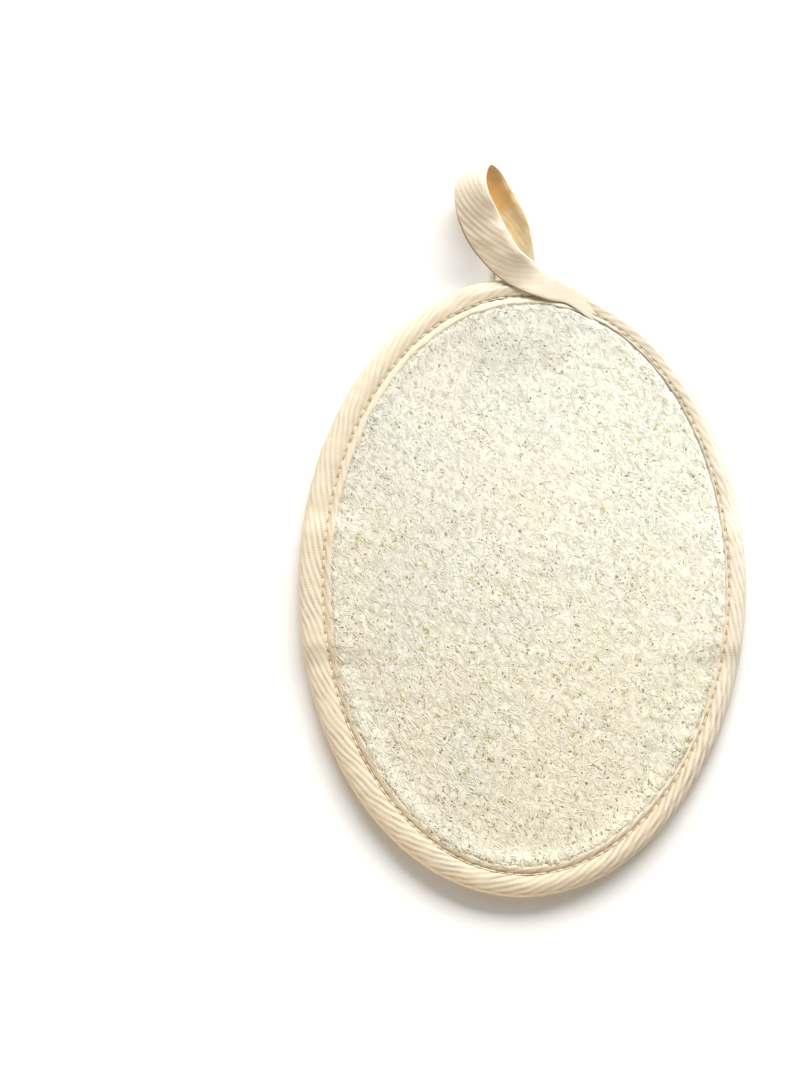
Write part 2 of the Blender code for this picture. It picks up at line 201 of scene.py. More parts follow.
def loofah_top(x, y):
    lift = STRAP_BUMP * over_strap(x, y) + TAB_ROOM * over_tab(x, y)
    rim = LOOFAH_RIM_TOP - FACE_GROOVE * pinch(x, y)
    return rim + lift + (DOME_RISE + LOOFAH_SWELL) * swell(x, y)


def strap_bottom(x):
    share = np.minimum(1.0, np.abs(x) / STRAP_SAG_HALF_SPAN)
    return BACK_GROOVE + TAPE_THICK + GAP - STRAP_SAG * (1.0 - share ** 2)


# The net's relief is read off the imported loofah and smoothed
RELIEF_STEP = 0.6 * MM
RELIEF_KEPT = 0.28
RELIEF_BLURS = 2


def relief_grid():
    """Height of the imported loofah's net above its smooth dome, on a square grid over the pad."""
    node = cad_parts["loofah_face"]
    corners = [vertex.co - PAD_MIDDLE for vertex in node.data.vertices]
    tree = BVHTree.FromPolygons(corners, [face.vertices[:] for face in node.data.polygons])
    xs = np.arange(-PAD_WIDTH / 2, PAD_WIDTH / 2 + RELIEF_STEP, RELIEF_STEP)
    ys = np.arange(-PAD_LENGTH / 2, PAD_LENGTH / 2 + RELIEF_STEP, RELIEF_STEP)
    x, y = np.meshgrid(xs, ys, indexing="ij")
    smooth = loofah_top(x, y)
    high = PAD_WIDTH
    relief = np.zeros_like(x)
    inside = seam_place(x, y)[1] > FRONT_MARGIN
    for i, j in np.argwhere(inside):
        hit = tree.ray_cast(Vector((x[i, j], y[i, j], high)), Vector((0, 0, -1)))[0]
        relief[i, j] = hit.z - smooth[i, j]
    for _ in range(RELIEF_BLURS):
        for axis in (0, 1):
            relief = (np.roll(relief, 1, axis) + 2 * relief + np.roll(relief, -1, axis)) / 4
    return relief * RELIEF_KEPT


RELIEF = relief_grid()


def net_relief(x, y):
    """The net's relief at any points, read between those of the grid."""
    u = np.clip((x + PAD_WIDTH / 2) / RELIEF_STEP, 0, RELIEF.shape[0] - 1.001)
    v = np.clip((y + PAD_LENGTH / 2) / RELIEF_STEP, 0, RELIEF.shape[1] - 1.001)
    i = u.astype(int)
    j = v.astype(int)
    a = u - i
    b = v - j
    low = RELIEF[i, j] * (1 - b) + RELIEF[i, j + 1] * b
    high = RELIEF[i + 1, j] * (1 - b) + RELIEF[i + 1, j + 1] * b
    return low * (1 - a) + high * a


# Meshes

def grid_corners(rows, columns, closed_rows, closed_columns):
    """Row and column of each face's corners, counted on past the last where the grid closes."""
    row_steps = np.arange(rows if closed_rows else rows - 1)
    column_steps = np.arange(columns if closed_columns else columns - 1)
    row, column = np.meshgrid(row_steps, column_steps, indexing="ij")
    return row.reshape(-1, 1) + (0, 1, 1, 0), column.reshape(-1, 1) + (0, 0, 1, 1)


def faces_point_in(points, faces):
    """Whether a closed mesh is inside out."""
    a, b, c, d = (points[faces[:, corner]] for corner in range(4))
    return np.einsum("ij,ij->", np.cross(c - a, d - b), (a + b + c + d)) < 0


def add_object(name, data):
    """Object of a mesh, a lamp or a camera, in the scene."""
    made = bpy.data.objects.new(name, data)
    bpy.context.scene.collection.objects.link(made)
    return made


def add_piece(
    name, points, faces, caps, material, replaced, corner_values=None, point_values=None, normals=None
):
    """Piece of the pad from points and four-cornered faces, with end caps and values for its material."""
    points = points.reshape(-1, 3)
    corner_values = dict(corner_values or {})
    turned = faces_point_in(points, faces)
    if turned:
        faces = faces[:, ::-1]
        caps = [cap[::-1] for cap in caps]
        corner_values = {key: value[:, ::-1] for key, value in corner_values.items()}
    mesh = bpy.data.meshes.new(name)
    mesh.from_pydata(points.tolist(), [], faces.tolist() + [list(cap) for cap in caps])
    mesh.shade_smooth()
    if normals is not None:
        mesh.normals_split_custom_set_from_vertices(normals.reshape(-1, 3).tolist())
    spare = sum(len(cap) for cap in caps)
    for key, value in corner_values.items():
        flat = np.concatenate((value.reshape(-1, value.shape[-1]), np.zeros((spare, value.shape[-1]))))
        if key == UV_MAP:
            layer = mesh.uv_layers.new(name=UV_MAP)
            layer.uv.foreach_set("vector", flat.astype(np.float32).ravel())
        else:
            attribute = mesh.attributes.new(key, "FLOAT_VECTOR", "CORNER")
            attribute.data.foreach_set("vector", flat.astype(np.float32).ravel())
    for key, value in (point_values or {}).items():
        attribute = mesh.attributes.new(key, "FLOAT", "POINT")
        attribute.data.foreach_set("value", value.astype(np.float32).ravel())
    mesh.materials.append(material)
    piece = add_object(name, mesh)
    piece.location = PAD_MIDDLE
    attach(piece, BODY)
    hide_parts(replaced)
    return piece


def add_sweep(name, points, closed, material, replaced, values=None, point_values=None):
    """Piece whose cross-sections are the rows of points; a closed one joins its last to its first."""
    rows, columns = points.shape[:2]
    row, column = grid_corners(rows, columns, closed, True)
    faces = row % rows * columns + column % columns
    caps = []
    if not closed:
        caps = [list(range(columns))[::-1], list(range((rows - 1) * columns, rows * columns))]
    places = {UV_MAP: np.stack((row / rows, column / columns), axis=-1)}
    for key, value in (values or {}).items():
        places[key] = value[row, column]
    return add_piece(name, points, faces, caps, material, replaced, places, point_values)


def spline_weights(count, steps, closed=False):
    """Weights that read a smooth curve through control points, with equal steps between them."""
    spans = count if closed else count - 1
    weights = np.zeros((spans * steps + (0 if closed else 1), count))
    for number in range(weights.shape[0]):
        span = min(number // steps, spans - 1)
        share = number / steps - span
        square = share ** 2
        cube = share ** 3
        parts = (
            (span - 1, -0.5 * (cube - 2 * square + share)),
            (span, 2 * cube - 3 * square + 1 - 0.5 * (cube - square)),
            (span + 1, 3 * square - 2 * cube + 0.5 * (cube - 2 * square + share)),
            (span + 2, 0.5 * (cube - square)),
        )
        for point, weight in parts:
            place = point % count if closed else min(max(point, 0), count - 1)
            weights[number, place] += weight
    return weights


def disc_grid(across, along):
    """Evenly spread points of a square grid drawn out to a round disc of radius 1."""
    a, b = np.meshgrid(np.linspace(-1, 1, across), np.linspace(-1, 1, along), indexing="ij")
    wide = np.abs(a) > np.abs(b)
    reach = np.where(wide, a, b)
    safe_a = np.where(wide, a, 1.0)
    safe_b = np.where(wide | (b == 0), 1.0, b)
    turn = np.where(wide, math.pi / 4 * b / safe_a, math.pi / 2 - math.pi / 4 * a / safe_b)
    return reach * np.cos(turn), reach * np.sin(turn)


def wobble(x, y, wave, seed, octaves=2):
    """Smooth random heights from -1 to 1 with bumps about one wavelength apart."""
    draw = np.random.default_rng(seed)
    total = np.zeros_like(x)
    for octave in range(octaves):
        scale = wave / 1.9 ** octave
        for _ in range(6):
            turn = draw.uniform(0, 2 * math.pi)
            phase = draw.uniform(0, 2 * math.pi)
            pitch = scale * draw.uniform(0.75, 1.35)
            place = (x * math.cos(turn) + y * math.sin(turn)) / pitch
            total += np.sin(2 * math.pi * place + phase) / 1.6 ** octave
    return total / 4.2


def add_layer(name, x, y, shown, hidden, finish, replaced):
    """Closed layer of the pad between its shown and its hidden side."""
    rows, columns = x.shape
    size = rows * columns
    points = np.concatenate((np.stack((x, y, shown), -1), np.stack((x, y, hidden), -1)))
    row, column = grid_corners(rows, columns, False, False)
    near = row * columns + column
    places = np.stack((row / (rows - 1), column / (columns - 1)), axis=-1)
    border = np.concatenate((
        np.arange(columns),
        np.arange(1, rows) * columns + columns - 1,
        (rows - 1) * columns + np.arange(columns - 1)[::-1],
        np.arange(1, rows - 1)[::-1] * columns,
    ))
    after = np.roll(border, -1)
    wall = np.stack((border, border + size, after + size, after), axis=-1)
    along = np.arange(len(wall))[:, None] / len(wall) + (0, 0, 1 / len(wall), 1 / len(wall))
    strip = np.stack((along, np.broadcast_to((0.992, 0.999, 0.999, 0.992), along.shape)), axis=-1)
    faces = np.concatenate((near, near[:, ::-1] + size, wall))
    uv = np.concatenate((places * (0.79, 0.99), places[:, ::-1] * (0.19, 0.99) + (0.8, 0.0), strip))
    return add_piece(name, points, faces, [], finish, replaced, {UV_MAP: uv})


# Materials

UV_MAP = "OFBake"


def linear(code):
    """Linear colour of an sRGB hex value."""
    channels = [int(code[start:start + 2], 16) / 255 for start in (1, 3, 5)]
    return (*(c / 12.92 if c <= 0.04045 else ((c + 0.055) / 1.055) ** 2.4 for c in channels), 1.0)


def set_inputs(tree, node, inputs):
    """Set each input to a value, or link it to a socket or to a node's first output."""
    for key, value in inputs.items():
        if isinstance(value, bpy.types.Node):
            value = value.outputs[0]
        if isinstance(value, bpy.types.NodeSocket):
            tree.links.new(value, node.inputs[key])
        else:
            node.inputs[key].default_value = value


def add_node(tree, kind, inputs=None, **settings):
    """Shader node of a kind, with its settings and with its inputs set or linked."""
    node = tree.nodes.new("ShaderNode" + kind)
    for key, value in settings.items():
        setattr(node, key, value)
    set_inputs(tree, node, inputs or {})
    return node


def new_material(name):
    """Material with an empty node tree, its shader and its output."""
    material = bpy.data.materials.new(name)
    material.use_nodes = True
    tree = material.node_tree
    tree.nodes.clear()
    shader = add_node(tree, "BsdfPrincipled")
    add_node(tree, "OutputMaterial", {"Surface": shader})
    return material, tree, shader


# Sizes of the weaves, in millimetres; terry, webbing and all fine grain are coarser than real, to show
TWILL_PITCH = 1.65
TWILL_YARN = 0.75
TERRY_COURSE = 1.25
TERRY_WALE = 1.05
WEBBING_RIB = 1.45
WEBBING_PICK = 0.85
# Way over the pad that its loofah gets less grey, and how far: partly the loofah's own colour and partly
# painted light, paler where the key falls weaker on the dome's lower side
GREY_AND_LIGHT_DIRECTION = (0.5, -0.87)
GREY_AND_LIGHT_REACH = 81 * MM
# Way over the pad that its tape gets paler, and where: painted light on the pad's upper right
PAINTED_LIGHT_DIRECTION = (0.87, 0.5)
PAINTED_LIGHT_SPAN = (15 * MM, 70 * MM)
PAINTED_LIGHT_SHARE = 0.42
# A wave texture's bands repeat after this share of one over its scale
WAVE_SPAN = math.pi / 10
# Streaks along the thread, several millimetres long so that they show
STREAK_SCALE = 0.05 / (0.6 * MM)


def share_along(tree, place, direction, start, end):
    """How far a place lies along a direction over the pad, from 0 at start to 1 at end."""
    along = add_node(
        tree, "VectorMath", {0: place, 1: (*direction, 0.0)}, operation="DOT_PRODUCT",
    ).outputs["Value"]
    return add_node(tree, "MapRange", {"Value": along, "From Min": start, "From Max": end})


def greyed_and_painted_light(tree, low, colour):
    """Colour of the loofah, greyer at the pad's upper left: partly its own colour, partly painted light that
    brightens the dome's lower side, which the key lights less.
    """
    grey_and_light_wash = add_node(
        tree, "Mix", {0: low, 6: linear("#e1e1df"), 7: linear("#fffffa")}, data_type="RGBA",
    ).outputs[2]
    return add_node(
        tree, "Mix", {0: 1.0, 6: colour, 7: grey_and_light_wash}, data_type="RGBA", blend_type="MULTIPLY",
    ).outputs[2]


def loofah_fibre_finish():
    """Loofah fibre, pressed flat after washing: pale matt strands, some greyer and some straw yellow, with
    painted shade on their sides.
    """
    material, tree, shader = new_material("washed_loofah_fibre")
    place = add_node(tree, "TexCoord").outputs["Object"]
    tone_and_shade = add_node(tree, "Attribute", attribute_name="tone_and_shade").outputs["Fac"]
    ramp = add_node(tree, "ValToRGB", {"Fac": tone_and_shade})
    stops = ramp.color_ramp.elements
    stops[0].color = linear("#a09877")
    stops[1].color = linear("#fdfcf6")
    for at, code in ((0.18, "#e0dbc9"), (0.45, "#f7f5ed"), (0.75, "#fbfaf5")):
        stops.new(at).color = linear(code)
    patch = add_node(tree, "TexNoise", {"Vector": place, "Scale": 1 / (24 * MM), "Detail": 3.0})
    low = share_along(tree, place, GREY_AND_LIGHT_DIRECTION, -GREY_AND_LIGHT_REACH, GREY_AND_LIGHT_REACH)
    tinge = add_node(tree, "MapRange", {"Value": patch, "From Min": 0.35, "From Max": 0.65})
    tint = add_node(
        tree, "Mix", {0: tinge, 6: linear("#f9fcfb"), 7: linear("#fffbf2")}, data_type="RGBA",
    ).outputs[2]
    tinted = add_node(
        tree, "Mix", {0: 1.0, 6: ramp, 7: tint}, data_type="RGBA", blend_type="MULTIPLY",
    ).outputs[2]
    yellow = add_node(tree, "Math", {0: low, 1: patch}, operation="MULTIPLY")
    warm = add_node(
        tree, "Mix", {0: yellow, 6: greyed_and_painted_light(tree, low, tinted), 7: linear("#f9f3d8")}, data_type="RGBA",
    ).outputs[2]
    grain = add_node(tree, "TexNoise", {"Vector": place, "Scale": 1 / (0.5 * MM), "Detail": 2.0})
    rough = add_node(tree, "MapRange", {"Value": grain, "To Min": 0.55, "To Max": 0.78})
    bump = add_node(tree, "Bump", {"Height": grain, "Strength": 0.25, "Distance": 0.05 * MM})
    set_inputs(tree, shader, {
        "Base Color": warm, "Roughness": rough, "Normal": bump, "IOR": 1.53, "Sheen Weight": 0.08,
    })
    return material


def loofah_mat_finish():
    """Loofah fibre, matted: fine pale strands along the lay, with patches of small pits whose shade is
    painted dark olive.
    """
    material, tree, shader = new_material("matted_loofah_fibre")
    place = add_node(tree, "TexCoord").outputs["Object"]
    lay = add_node(
        tree, "Mapping", {"Vector": place, "Rotation": (0.0, 0.0, -FIBRE_LAY), "Scale": (0.42, 1.0, 1.0)},
    )
    patch = add_node(tree, "TexNoise", {"Vector": place, "Scale": 1 / (8 * MM), "Detail": 2.0})
    strands = add_node(
        tree, "TexNoise", {"Vector": lay, "Scale": 1 / (0.55 * MM), "Detail": 3.0, "Distortion": 0.8},
    )
    ramp = add_node(tree, "ValToRGB", {"Fac": strands})
    ramp.color_ramp.elements[0].position = 0.33
    ramp.color_ramp.elements[0].color = linear("#cdc8b2")
    ramp.color_ramp.elements[1].position = 0.50
    ramp.color_ramp.elements[1].color = linear("#f6f3e8")
    # Painted shade: small pits of the net, dark olive, in patches
    cells = add_node(
        tree, "TexVoronoi", {"Vector": lay, "Scale": 1 / (MAT_PIT_PITCH * MM), "Randomness": 1.0},
    )
    pore_shade = add_node(
        tree, "MapRange",
        {"Value": cells, "From Min": 0.30, "From Max": 0.14},
        interpolation_type="SMOOTHSTEP",
    )
    pore_shade_patches = add_node(
        tree, "MapRange",
        {"Value": patch, "From Min": 0.42, "From Max": 0.56, "To Min": 0.15, "To Max": 0.9},
    )
    depth = add_node(tree, "Math", {0: pore_shade, 1: pore_shade_patches}, operation="MULTIPLY")
    low = share_along(tree, place, GREY_AND_LIGHT_DIRECTION, -GREY_AND_LIGHT_REACH, GREY_AND_LIGHT_REACH)
    colour = add_node(
        tree, "Mix", {0: depth, 6: greyed_and_painted_light(tree, low, ramp), 7: linear("#6f6748")}, data_type="RGBA",
    ).outputs[2]
    bump = add_node(tree, "Bump", {"Height": strands, "Strength": 0.3, "Distance": 0.05 * MM})
    set_inputs(tree, shader, {"Base Color": colour, "Roughness": 0.8, "Normal": bump, "IOR": 1.53})
    return material


def husk_and_shade_speck_finish(name, dark, light):
    """Small dull bits on the loofah, none quite alike: dried husk that speckles the pale strands, and dark
    specks that are painted shade in the net's pits.
    """
    material, tree, shader = new_material(name)
    place = add_node(tree, "TexCoord").outputs["Object"]
    tone_and_shade = add_node(tree, "Attribute", attribute_name="tone_and_shade").outputs["Fac"]
    grain = add_node(tree, "TexNoise", {"Vector": place, "Scale": 1 / (0.4 * MM), "Detail": 2.0})
    share = add_node(tree, "Math", {0: grain, 1: 0.5, 2: tone_and_shade}, operation="MULTIPLY_ADD")
    level = add_node(tree, "MapRange", {"Value": share, "From Min": 0.0, "From Max": 1.1})
    colour = add_node(
        tree, "Mix", {0: level, 6: linear(dark), 7: linear(light)}, data_type="RGBA",
    ).outputs[2]
    set_inputs(tree, shader, {"Base Color": colour, "Roughness": 0.9, "IOR": 1.5})
    return material


def twill_finish():
    """Unbleached cotton twill, woven: soft ridges with painted shade in their valleys, where the yarns show
    as hatching; painted shade in the seam's groove and on the loop, and painted light at the pad's upper
    right and in the loop's hollow.
    """
    material, tree, shader = new_material("woven_cotton_twill")
    weave = add_node(tree, "Attribute", attribute_name="weave").outputs["Vector"]
    shade = add_node(tree, "Attribute", attribute_name="shade").outputs["Fac"]
    glow = add_node(tree, "Attribute", attribute_name="glow").outputs["Fac"]
    parts = add_node(tree, "SeparateXYZ", {"Vector": weave})
    place = add_node(tree, "TexCoord").outputs["Object"]
    mottle = add_node(tree, "TexNoise", {"Vector": place, "Scale": 1 / (5 * MM), "Detail": 3.0})
    fuzz = add_node(tree, "TexNoise", {"Vector": place, "Scale": 1 / (0.4 * MM), "Detail": 3.0})
    slip = add_node(tree, "Math", {0: fuzz, 1: 2.2, 2: parts.outputs["Y"]}, operation="MULTIPLY_ADD")
    beads = add_node(
        tree, "Math",
        {0: parts.outputs["X"], 1: 2 * math.pi / (TWILL_YARN * MM), 2: slip},
        operation="MULTIPLY_ADD",
    )
    wave = add_node(tree, "Math", {0: beads}, operation="SINE")
    hatch = add_node(
        tree, "MapRange", {"Value": wave, "From Min": -1.0, "From Max": 0.6, "To Min": 0.55, "To Max": 1.0},
    )
    # Painted shade in the valleys between the ridges and the gaps between the yarns, patchy over the tape
    open_valley = add_node(tree, "Math", {0: 1.0, 1: parts.outputs["Z"]}, operation="SUBTRACT")
    valley_shade_patches = add_node(
        tree, "MapRange", {"Value": mottle, "From Min": 0.3, "From Max": 0.7, "To Min": 1.1, "To Max": 0.5},
    )
    hatched = add_node(tree, "Math", {0: open_valley, 1: hatch}, operation="MULTIPLY")
    depth = add_node(tree, "Math", {0: hatched, 1: valley_shade_patches}, operation="MULTIPLY", use_clamp=True)
    weave_colour = add_node(
        tree, "Mix", {0: depth, 6: linear("#e2d7c3"), 7: linear("#a39170")}, data_type="RGBA",
    ).outputs[2]
    blotch = add_node(
        tree, "MapRange",
        {"Value": mottle, "From Min": 0.35, "From Max": 0.7, "To Min": 0.0, "To Max": 0.5},
    )
    mottled = add_node(
        tree, "Mix", {0: blotch, 6: weave_colour, 7: linear("#d5c5a8")}, data_type="RGBA",
    ).outputs[2]
    # Painted light: the tape is paler towards the pad's upper right
    pale = share_along(tree, place, PAINTED_LIGHT_DIRECTION, *PAINTED_LIGHT_SPAN)
    painted_light_amount = add_node(tree, "Math", {0: pale, 1: PAINTED_LIGHT_SHARE}, operation="MULTIPLY")
    with_painted_light = add_node(
        tree, "Mix", {0: painted_light_amount, 6: mottled, 7: linear("#f6f1e2")}, data_type="RGBA",
    ).outputs[2]
    # Painted light on the loop's inner face, golden and straw yellow, as if light soaked through it
    soaked = add_node(tree, "ValToRGB", {"Fac": glow})
    soaked.color_ramp.elements[0].position = 0.5
    soaked.color_ramp.elements[0].color = linear("#fff3c4")
    soaked.color_ramp.elements[1].position = 0.9
    soaked.color_ramp.elements[1].color = linear("#f8cb84")
    lit = add_node(tree, "Mix", {0: glow, 6: with_painted_light, 7: soaked}, data_type="RGBA").outputs[2]
    # Painted shade: brown in the seam's groove, its needle holes, and on the loop's open edge and left side
    colour = add_node(tree, "Mix", {0: shade, 6: lit, 7: linear("#7d6646")}, data_type="RGBA").outputs[2]
    height = add_node(tree, "Math", {0: wave, 1: 0.4, 2: fuzz}, operation="MULTIPLY_ADD")
    bump = add_node(tree, "Bump", {"Height": height, "Strength": 0.35, "Distance": 0.08 * MM})
    rough = add_node(tree, "MapRange", {"Value": fuzz, "To Min": 0.78, "To Max": 0.97})
    set_inputs(tree, shader, {
        "Base Color": colour, "Roughness": rough, "Normal": bump, "IOR": 1.53, "Sheen Weight": 0.15,
        "Sheen Roughness": 0.5,
    })
    return material


def terry_finish():
    """Cotton terry, woven with short loops: a soft matt pile with painted shade between its rows and loops.
    """
    material, tree, shader = new_material("cotton_terry")
    place = add_node(tree, "TexCoord").outputs["Object"]
    rows = add_node(
        tree, "TexWave",
        {"Vector": place, "Scale": WAVE_SPAN / (TERRY_COURSE * MM),
         "Distortion": 3.0, "Detail": 1.0},
        bands_direction="Y",
    ).outputs["Fac"]
    row = add_node(tree, "MapRange", {"Value": rows, "To Max": 0.3})
    loops = add_node(
        tree, "TexVoronoi", {"Vector": place, "Scale": 1 / (TERRY_WALE * MM), "Randomness": 0.8},
    )
    pile = add_node(tree, "Math", {0: loops, 1: -1.0, 2: row}, operation="MULTIPLY_ADD")
    mottle = add_node(tree, "TexNoise", {"Vector": place, "Scale": 1 / (9 * MM), "Detail": 3.0})
    fuzz = add_node(tree, "TexNoise", {"Vector": place, "Scale": 1 / (0.4 * MM), "Detail": 3.0})
    lit = add_node(tree, "MapRange", {"Value": pile, "From Min": -0.6, "From Max": 0.15})
    # Painted shade: the pile is darker between its rows and loops
    tuft = add_node(
        tree, "Mix", {0: lit, 6: linear("#dccfab"), 7: linear("#f7f1df")}, data_type="RGBA",
    ).outputs[2]
    blotch = add_node(
        tree, "MapRange",
        {"Value": mottle, "From Min": 0.35, "From Max": 0.7, "To Min": 0.0, "To Max": 0.4},
    )
    colour = add_node(tree, "Mix", {0: blotch, 6: tuft, 7: linear("#efe5c8")}, data_type="RGBA").outputs[2]
    height = add_node(tree, "Math", {0: fuzz, 1: 0.6, 2: lit}, operation="MULTIPLY_ADD")
    bump = add_node(tree, "Bump", {"Height": height, "Strength": 0.7, "Distance": 0.2 * MM})
    rough = add_node(tree, "MapRange", {"Value": fuzz, "To Min": 0.85, "To Max": 1.0})
    set_inputs(tree, shader, {
        "Base Color": colour, "Roughness": rough, "Normal": bump, "IOR": 1.53, "Sheen Weight": 0.3,
        "Sheen Roughness": 0.6,
    })
    return material


def webbing_finish():
    """Elastic webbing, knitted over rubber: yellow cream ribs with rows of short stitches across them."""
    material, tree, shader = new_material("knitted_elastic_webbing")
    weave = add_node(tree, "Attribute", attribute_name="weave").outputs["Vector"]
    parts = add_node(tree, "SeparateXYZ", {"Vector": weave})
    place = add_node(tree, "TexCoord").outputs["Object"]
    picks = add_node(
        tree, "Math", {0: parts.outputs["X"], 1: 2 * math.pi / (WEBBING_PICK * MM)}, operation="MULTIPLY",
    )
    wave = add_node(tree, "Math", {0: picks}, operation="SINE")
    fuzz = add_node(tree, "TexNoise", {"Vector": place, "Scale": 1 / (0.35 * MM), "Detail": 2.0})
    # Painted shade: darker between the ribs and between their stitches
    colour = add_node(
        tree, "Mix", {0: parts.outputs["Z"], 6: linear("#cdb883"), 7: linear("#efe6c8")}, data_type="RGBA",
    ).outputs[2]
    height = add_node(tree, "Math", {0: wave, 1: 0.6, 2: fuzz}, operation="MULTIPLY_ADD")
    bump = add_node(tree, "Bump", {"Height": height, "Strength": 0.6, "Distance": 0.1 * MM})
    set_inputs(tree, shader, {
        "Base Color": colour, "Roughness": 0.7, "Normal": bump, "IOR": 1.5, "Sheen Weight": 0.12,
    })
    return material


def thread_finish():
    """Spun polyester sewing thread, twisted of two plies: slightly shinier than the tape."""
    material, tree, shader = new_material("spun_sewing_thread")
    place = add_node(tree, "TexCoord").outputs["Object"]
    ply = add_node(
        tree, "TexWave",
        {"Vector": place, "Scale": STREAK_SCALE, "Distortion": 2.0},
        bands_direction="DIAGONAL",
    ).outputs["Fac"]
    colour = add_node(
        tree, "Mix", {0: ply, 6: linear("#c6b18b"), 7: linear("#e0d2b5")}, data_type="RGBA",
    ).outputs[2]
    bump = add_node(tree, "Bump", {"Height": ply, "Strength": 0.5, "Distance": 0.05 * MM})
    set_inputs(tree, shader, {
        "Base Color": colour, "Roughness": 0.55, "Normal": bump, "IOR": 1.57, "Sheen Weight": 0.1,
    })
    return material


# Loofah face

MAT_GRID = (112, 152)
MAT_INSET = 1.6 * MM
MAT_SUNK = 0.08 * MM
MAT_ROUGHNESS = 0.05 * MM
MAT_PIT_PITCH = 1.15
FIBRE_LAYERS = (
    # Seed, count, height above the mat and half thickness of the fibres
    (11, 7600, -0.02 * MM, 0.120 * MM),
    (12, 7600, 0.01 * MM, 0.115 * MM),
    (13, 7600, 0.04 * MM, 0.110 * MM),
)
FIBRE_POINTS = 4
FIBRE_SIDES = 3
FIBRE_LENGTH = (1.8 * MM, 5.6 * MM)
FIBRE_BEND = math.radians(95)
FIBRE_WEAVE = 0.05 * MM
FIBRE_FLATNESS = 0.25
# Light soaks through a strand, so its sides shade less than their slope, least in the pressed part;
# each pair is for the pressed and for the loose part
FIBRE_SOFTNESS = (0.18, 0.80)
# Painted shade on each strand's side corners: how far they drop towards the dark end of the strands' colours
FIBRE_SIDE_SHADE = (-0.30, -1.10)
LOOSE_ACROSS = 0.5
LOOSE_REACH = (-50 * MM, 60 * MM)
FIBRE_LAY = math.radians(118)
# Share of the tape's inner margin that the fibres leave free
FIBRE_TUCK = 0.6
# Dark specks that stand for the shade in the net's pits: painted shade
SHADE_SPECK_LAYER = (14, 1700, 0.05 * MM, 0.17 * MM)
SHADE_SPECK_LENGTH = (0.3 * MM, 1.3 * MM)
HUSK_LAYER = (15, 460, 0.06 * MM, 0.17 * MM)
HUSK_LENGTH = (0.5 * MM, 1.7 * MM)
BORDER_PUFF = 0.95 * MM
BORDER_PUFF_REACH = (2.0 * MM, 8.0 * MM)
BORDER_PUFF_SIDE = math.radians(30)
HUSKS = (
    # Husk left in the mat: its place in the plan and its radius, in millimetres
    (-41.2, 22.4, 1.0), (14.8, -45.5, 1.1), (21.4, -20.1, 0.9), (29.5, -30.2, 1.0),
    (10.5, -38.6, 0.8), (38.2, 46.4, 0.9), (41.7, 45.5, 0.8), (33.6, 42.3, 0.9),
    (56.0, -11.8, 0.8), (53.0, -29.6, 0.9), (48.2, -40.0, 0.7), (48.0, -44.4, 1.0),
    (43.5, -48.9, 0.8),
)
HUSK_SEED = 17
HUSK_COUNT = 46


def husk_places():
    """The husks seen one by one, and smaller ones strewn mostly over the lower half."""
    draw = np.random.default_rng(HUSK_SEED)
    turn = draw.uniform(math.pi * 0.95, math.pi * 2.15, HUSK_COUNT)
    reach = np.sqrt(draw.uniform(0, 0.92, HUSK_COUNT))
    x = reach * np.cos(turn) * PAD_WIDTH * 0.42 / MM
    y = reach * np.sin(turn) * PAD_LENGTH * 0.43 / MM + 6.0
    return list(HUSKS) + list(zip(x, y, draw.uniform(0.55, 1.25, HUSK_COUNT)))


def mat_height(x, y):
    """Height of the loofah's face: the dome, its net, and the fibre that swells out beside the tape."""
    inset = seam_place(x, y)[1]
    puff = band(inset, 0.0, BORDER_PUFF_REACH[0], *BORDER_PUFF_REACH)
    facing = np.cos(np.arctan2(y, x) - BORDER_PUFF_SIDE)
    uneven = 0.85 - 0.35 * facing + 0.30 * wobble(x, y, 4.5 * MM, 51)
    return loofah_top(x, y) + net_relief(x, y) + BORDER_PUFF * puff * uneven


def add_loofah_mat():
    """The mat under the loose fibres."""
    across, along = disc_grid(*MAT_GRID)
    x = across * (PAD_WIDTH / 2 - MAT_INSET)
    y = along * (PAD_LENGTH / 2 - MAT_INSET)
    shown = smooth_step(inside_margin(x, y), FIBRE_TUCK, 1.0)
    rough = mat_height(x, y) - MAT_SUNK + wobble(x, y, 2.6 * MM, 3) * MAT_ROUGHNESS
    top = rough * shown + loofah_top(x, y) * (1 - shown)
    base = terry_top(x, y) + GAP
    pad = add_layer("loofah_mat", x, y, top, base, loofah_mat_finish(), "loofah_face")


def strewn(draw, count):
    """Points spread evenly over the face."""
    turn = draw.uniform(0, 2 * math.pi, count)
    reach = np.sqrt(draw.uniform(0, 1, count))
    border = SEAM_INSET + FIBRE_TUCK * FRONT_MARGIN / 2
    x = reach * np.cos(turn) * (PAD_WIDTH / 2 - border)
    return x, reach * np.sin(turn) * (PAD_LENGTH / 2 - border)


def in_patches(draw, count):
    """Points over the face, with more of them in some patches and at the lower left."""
    x, y = strewn(draw, 3 * count)
    lean = 0.45 * (0.5 * x + 0.87 * y) / (PAD_LENGTH / 2)
    order = np.argsort(wobble(x, y, 11 * MM, 61) + lean + draw.normal(0, 0.55, len(x)))
    return x[order[:count]], y[order[:count]]


def by_husks(draw, count):
    """Points in a small heap at each husk."""
    husks = np.array(husk_places())[np.arange(count) % (len(HUSKS) + HUSK_COUNT)] * MM
    spread = draw.normal(0, 0.5, (count, 2)) * husks[:, 2:]
    return husks[:, 0] + spread[:, 0], husks[:, 1] + spread[:, 1]


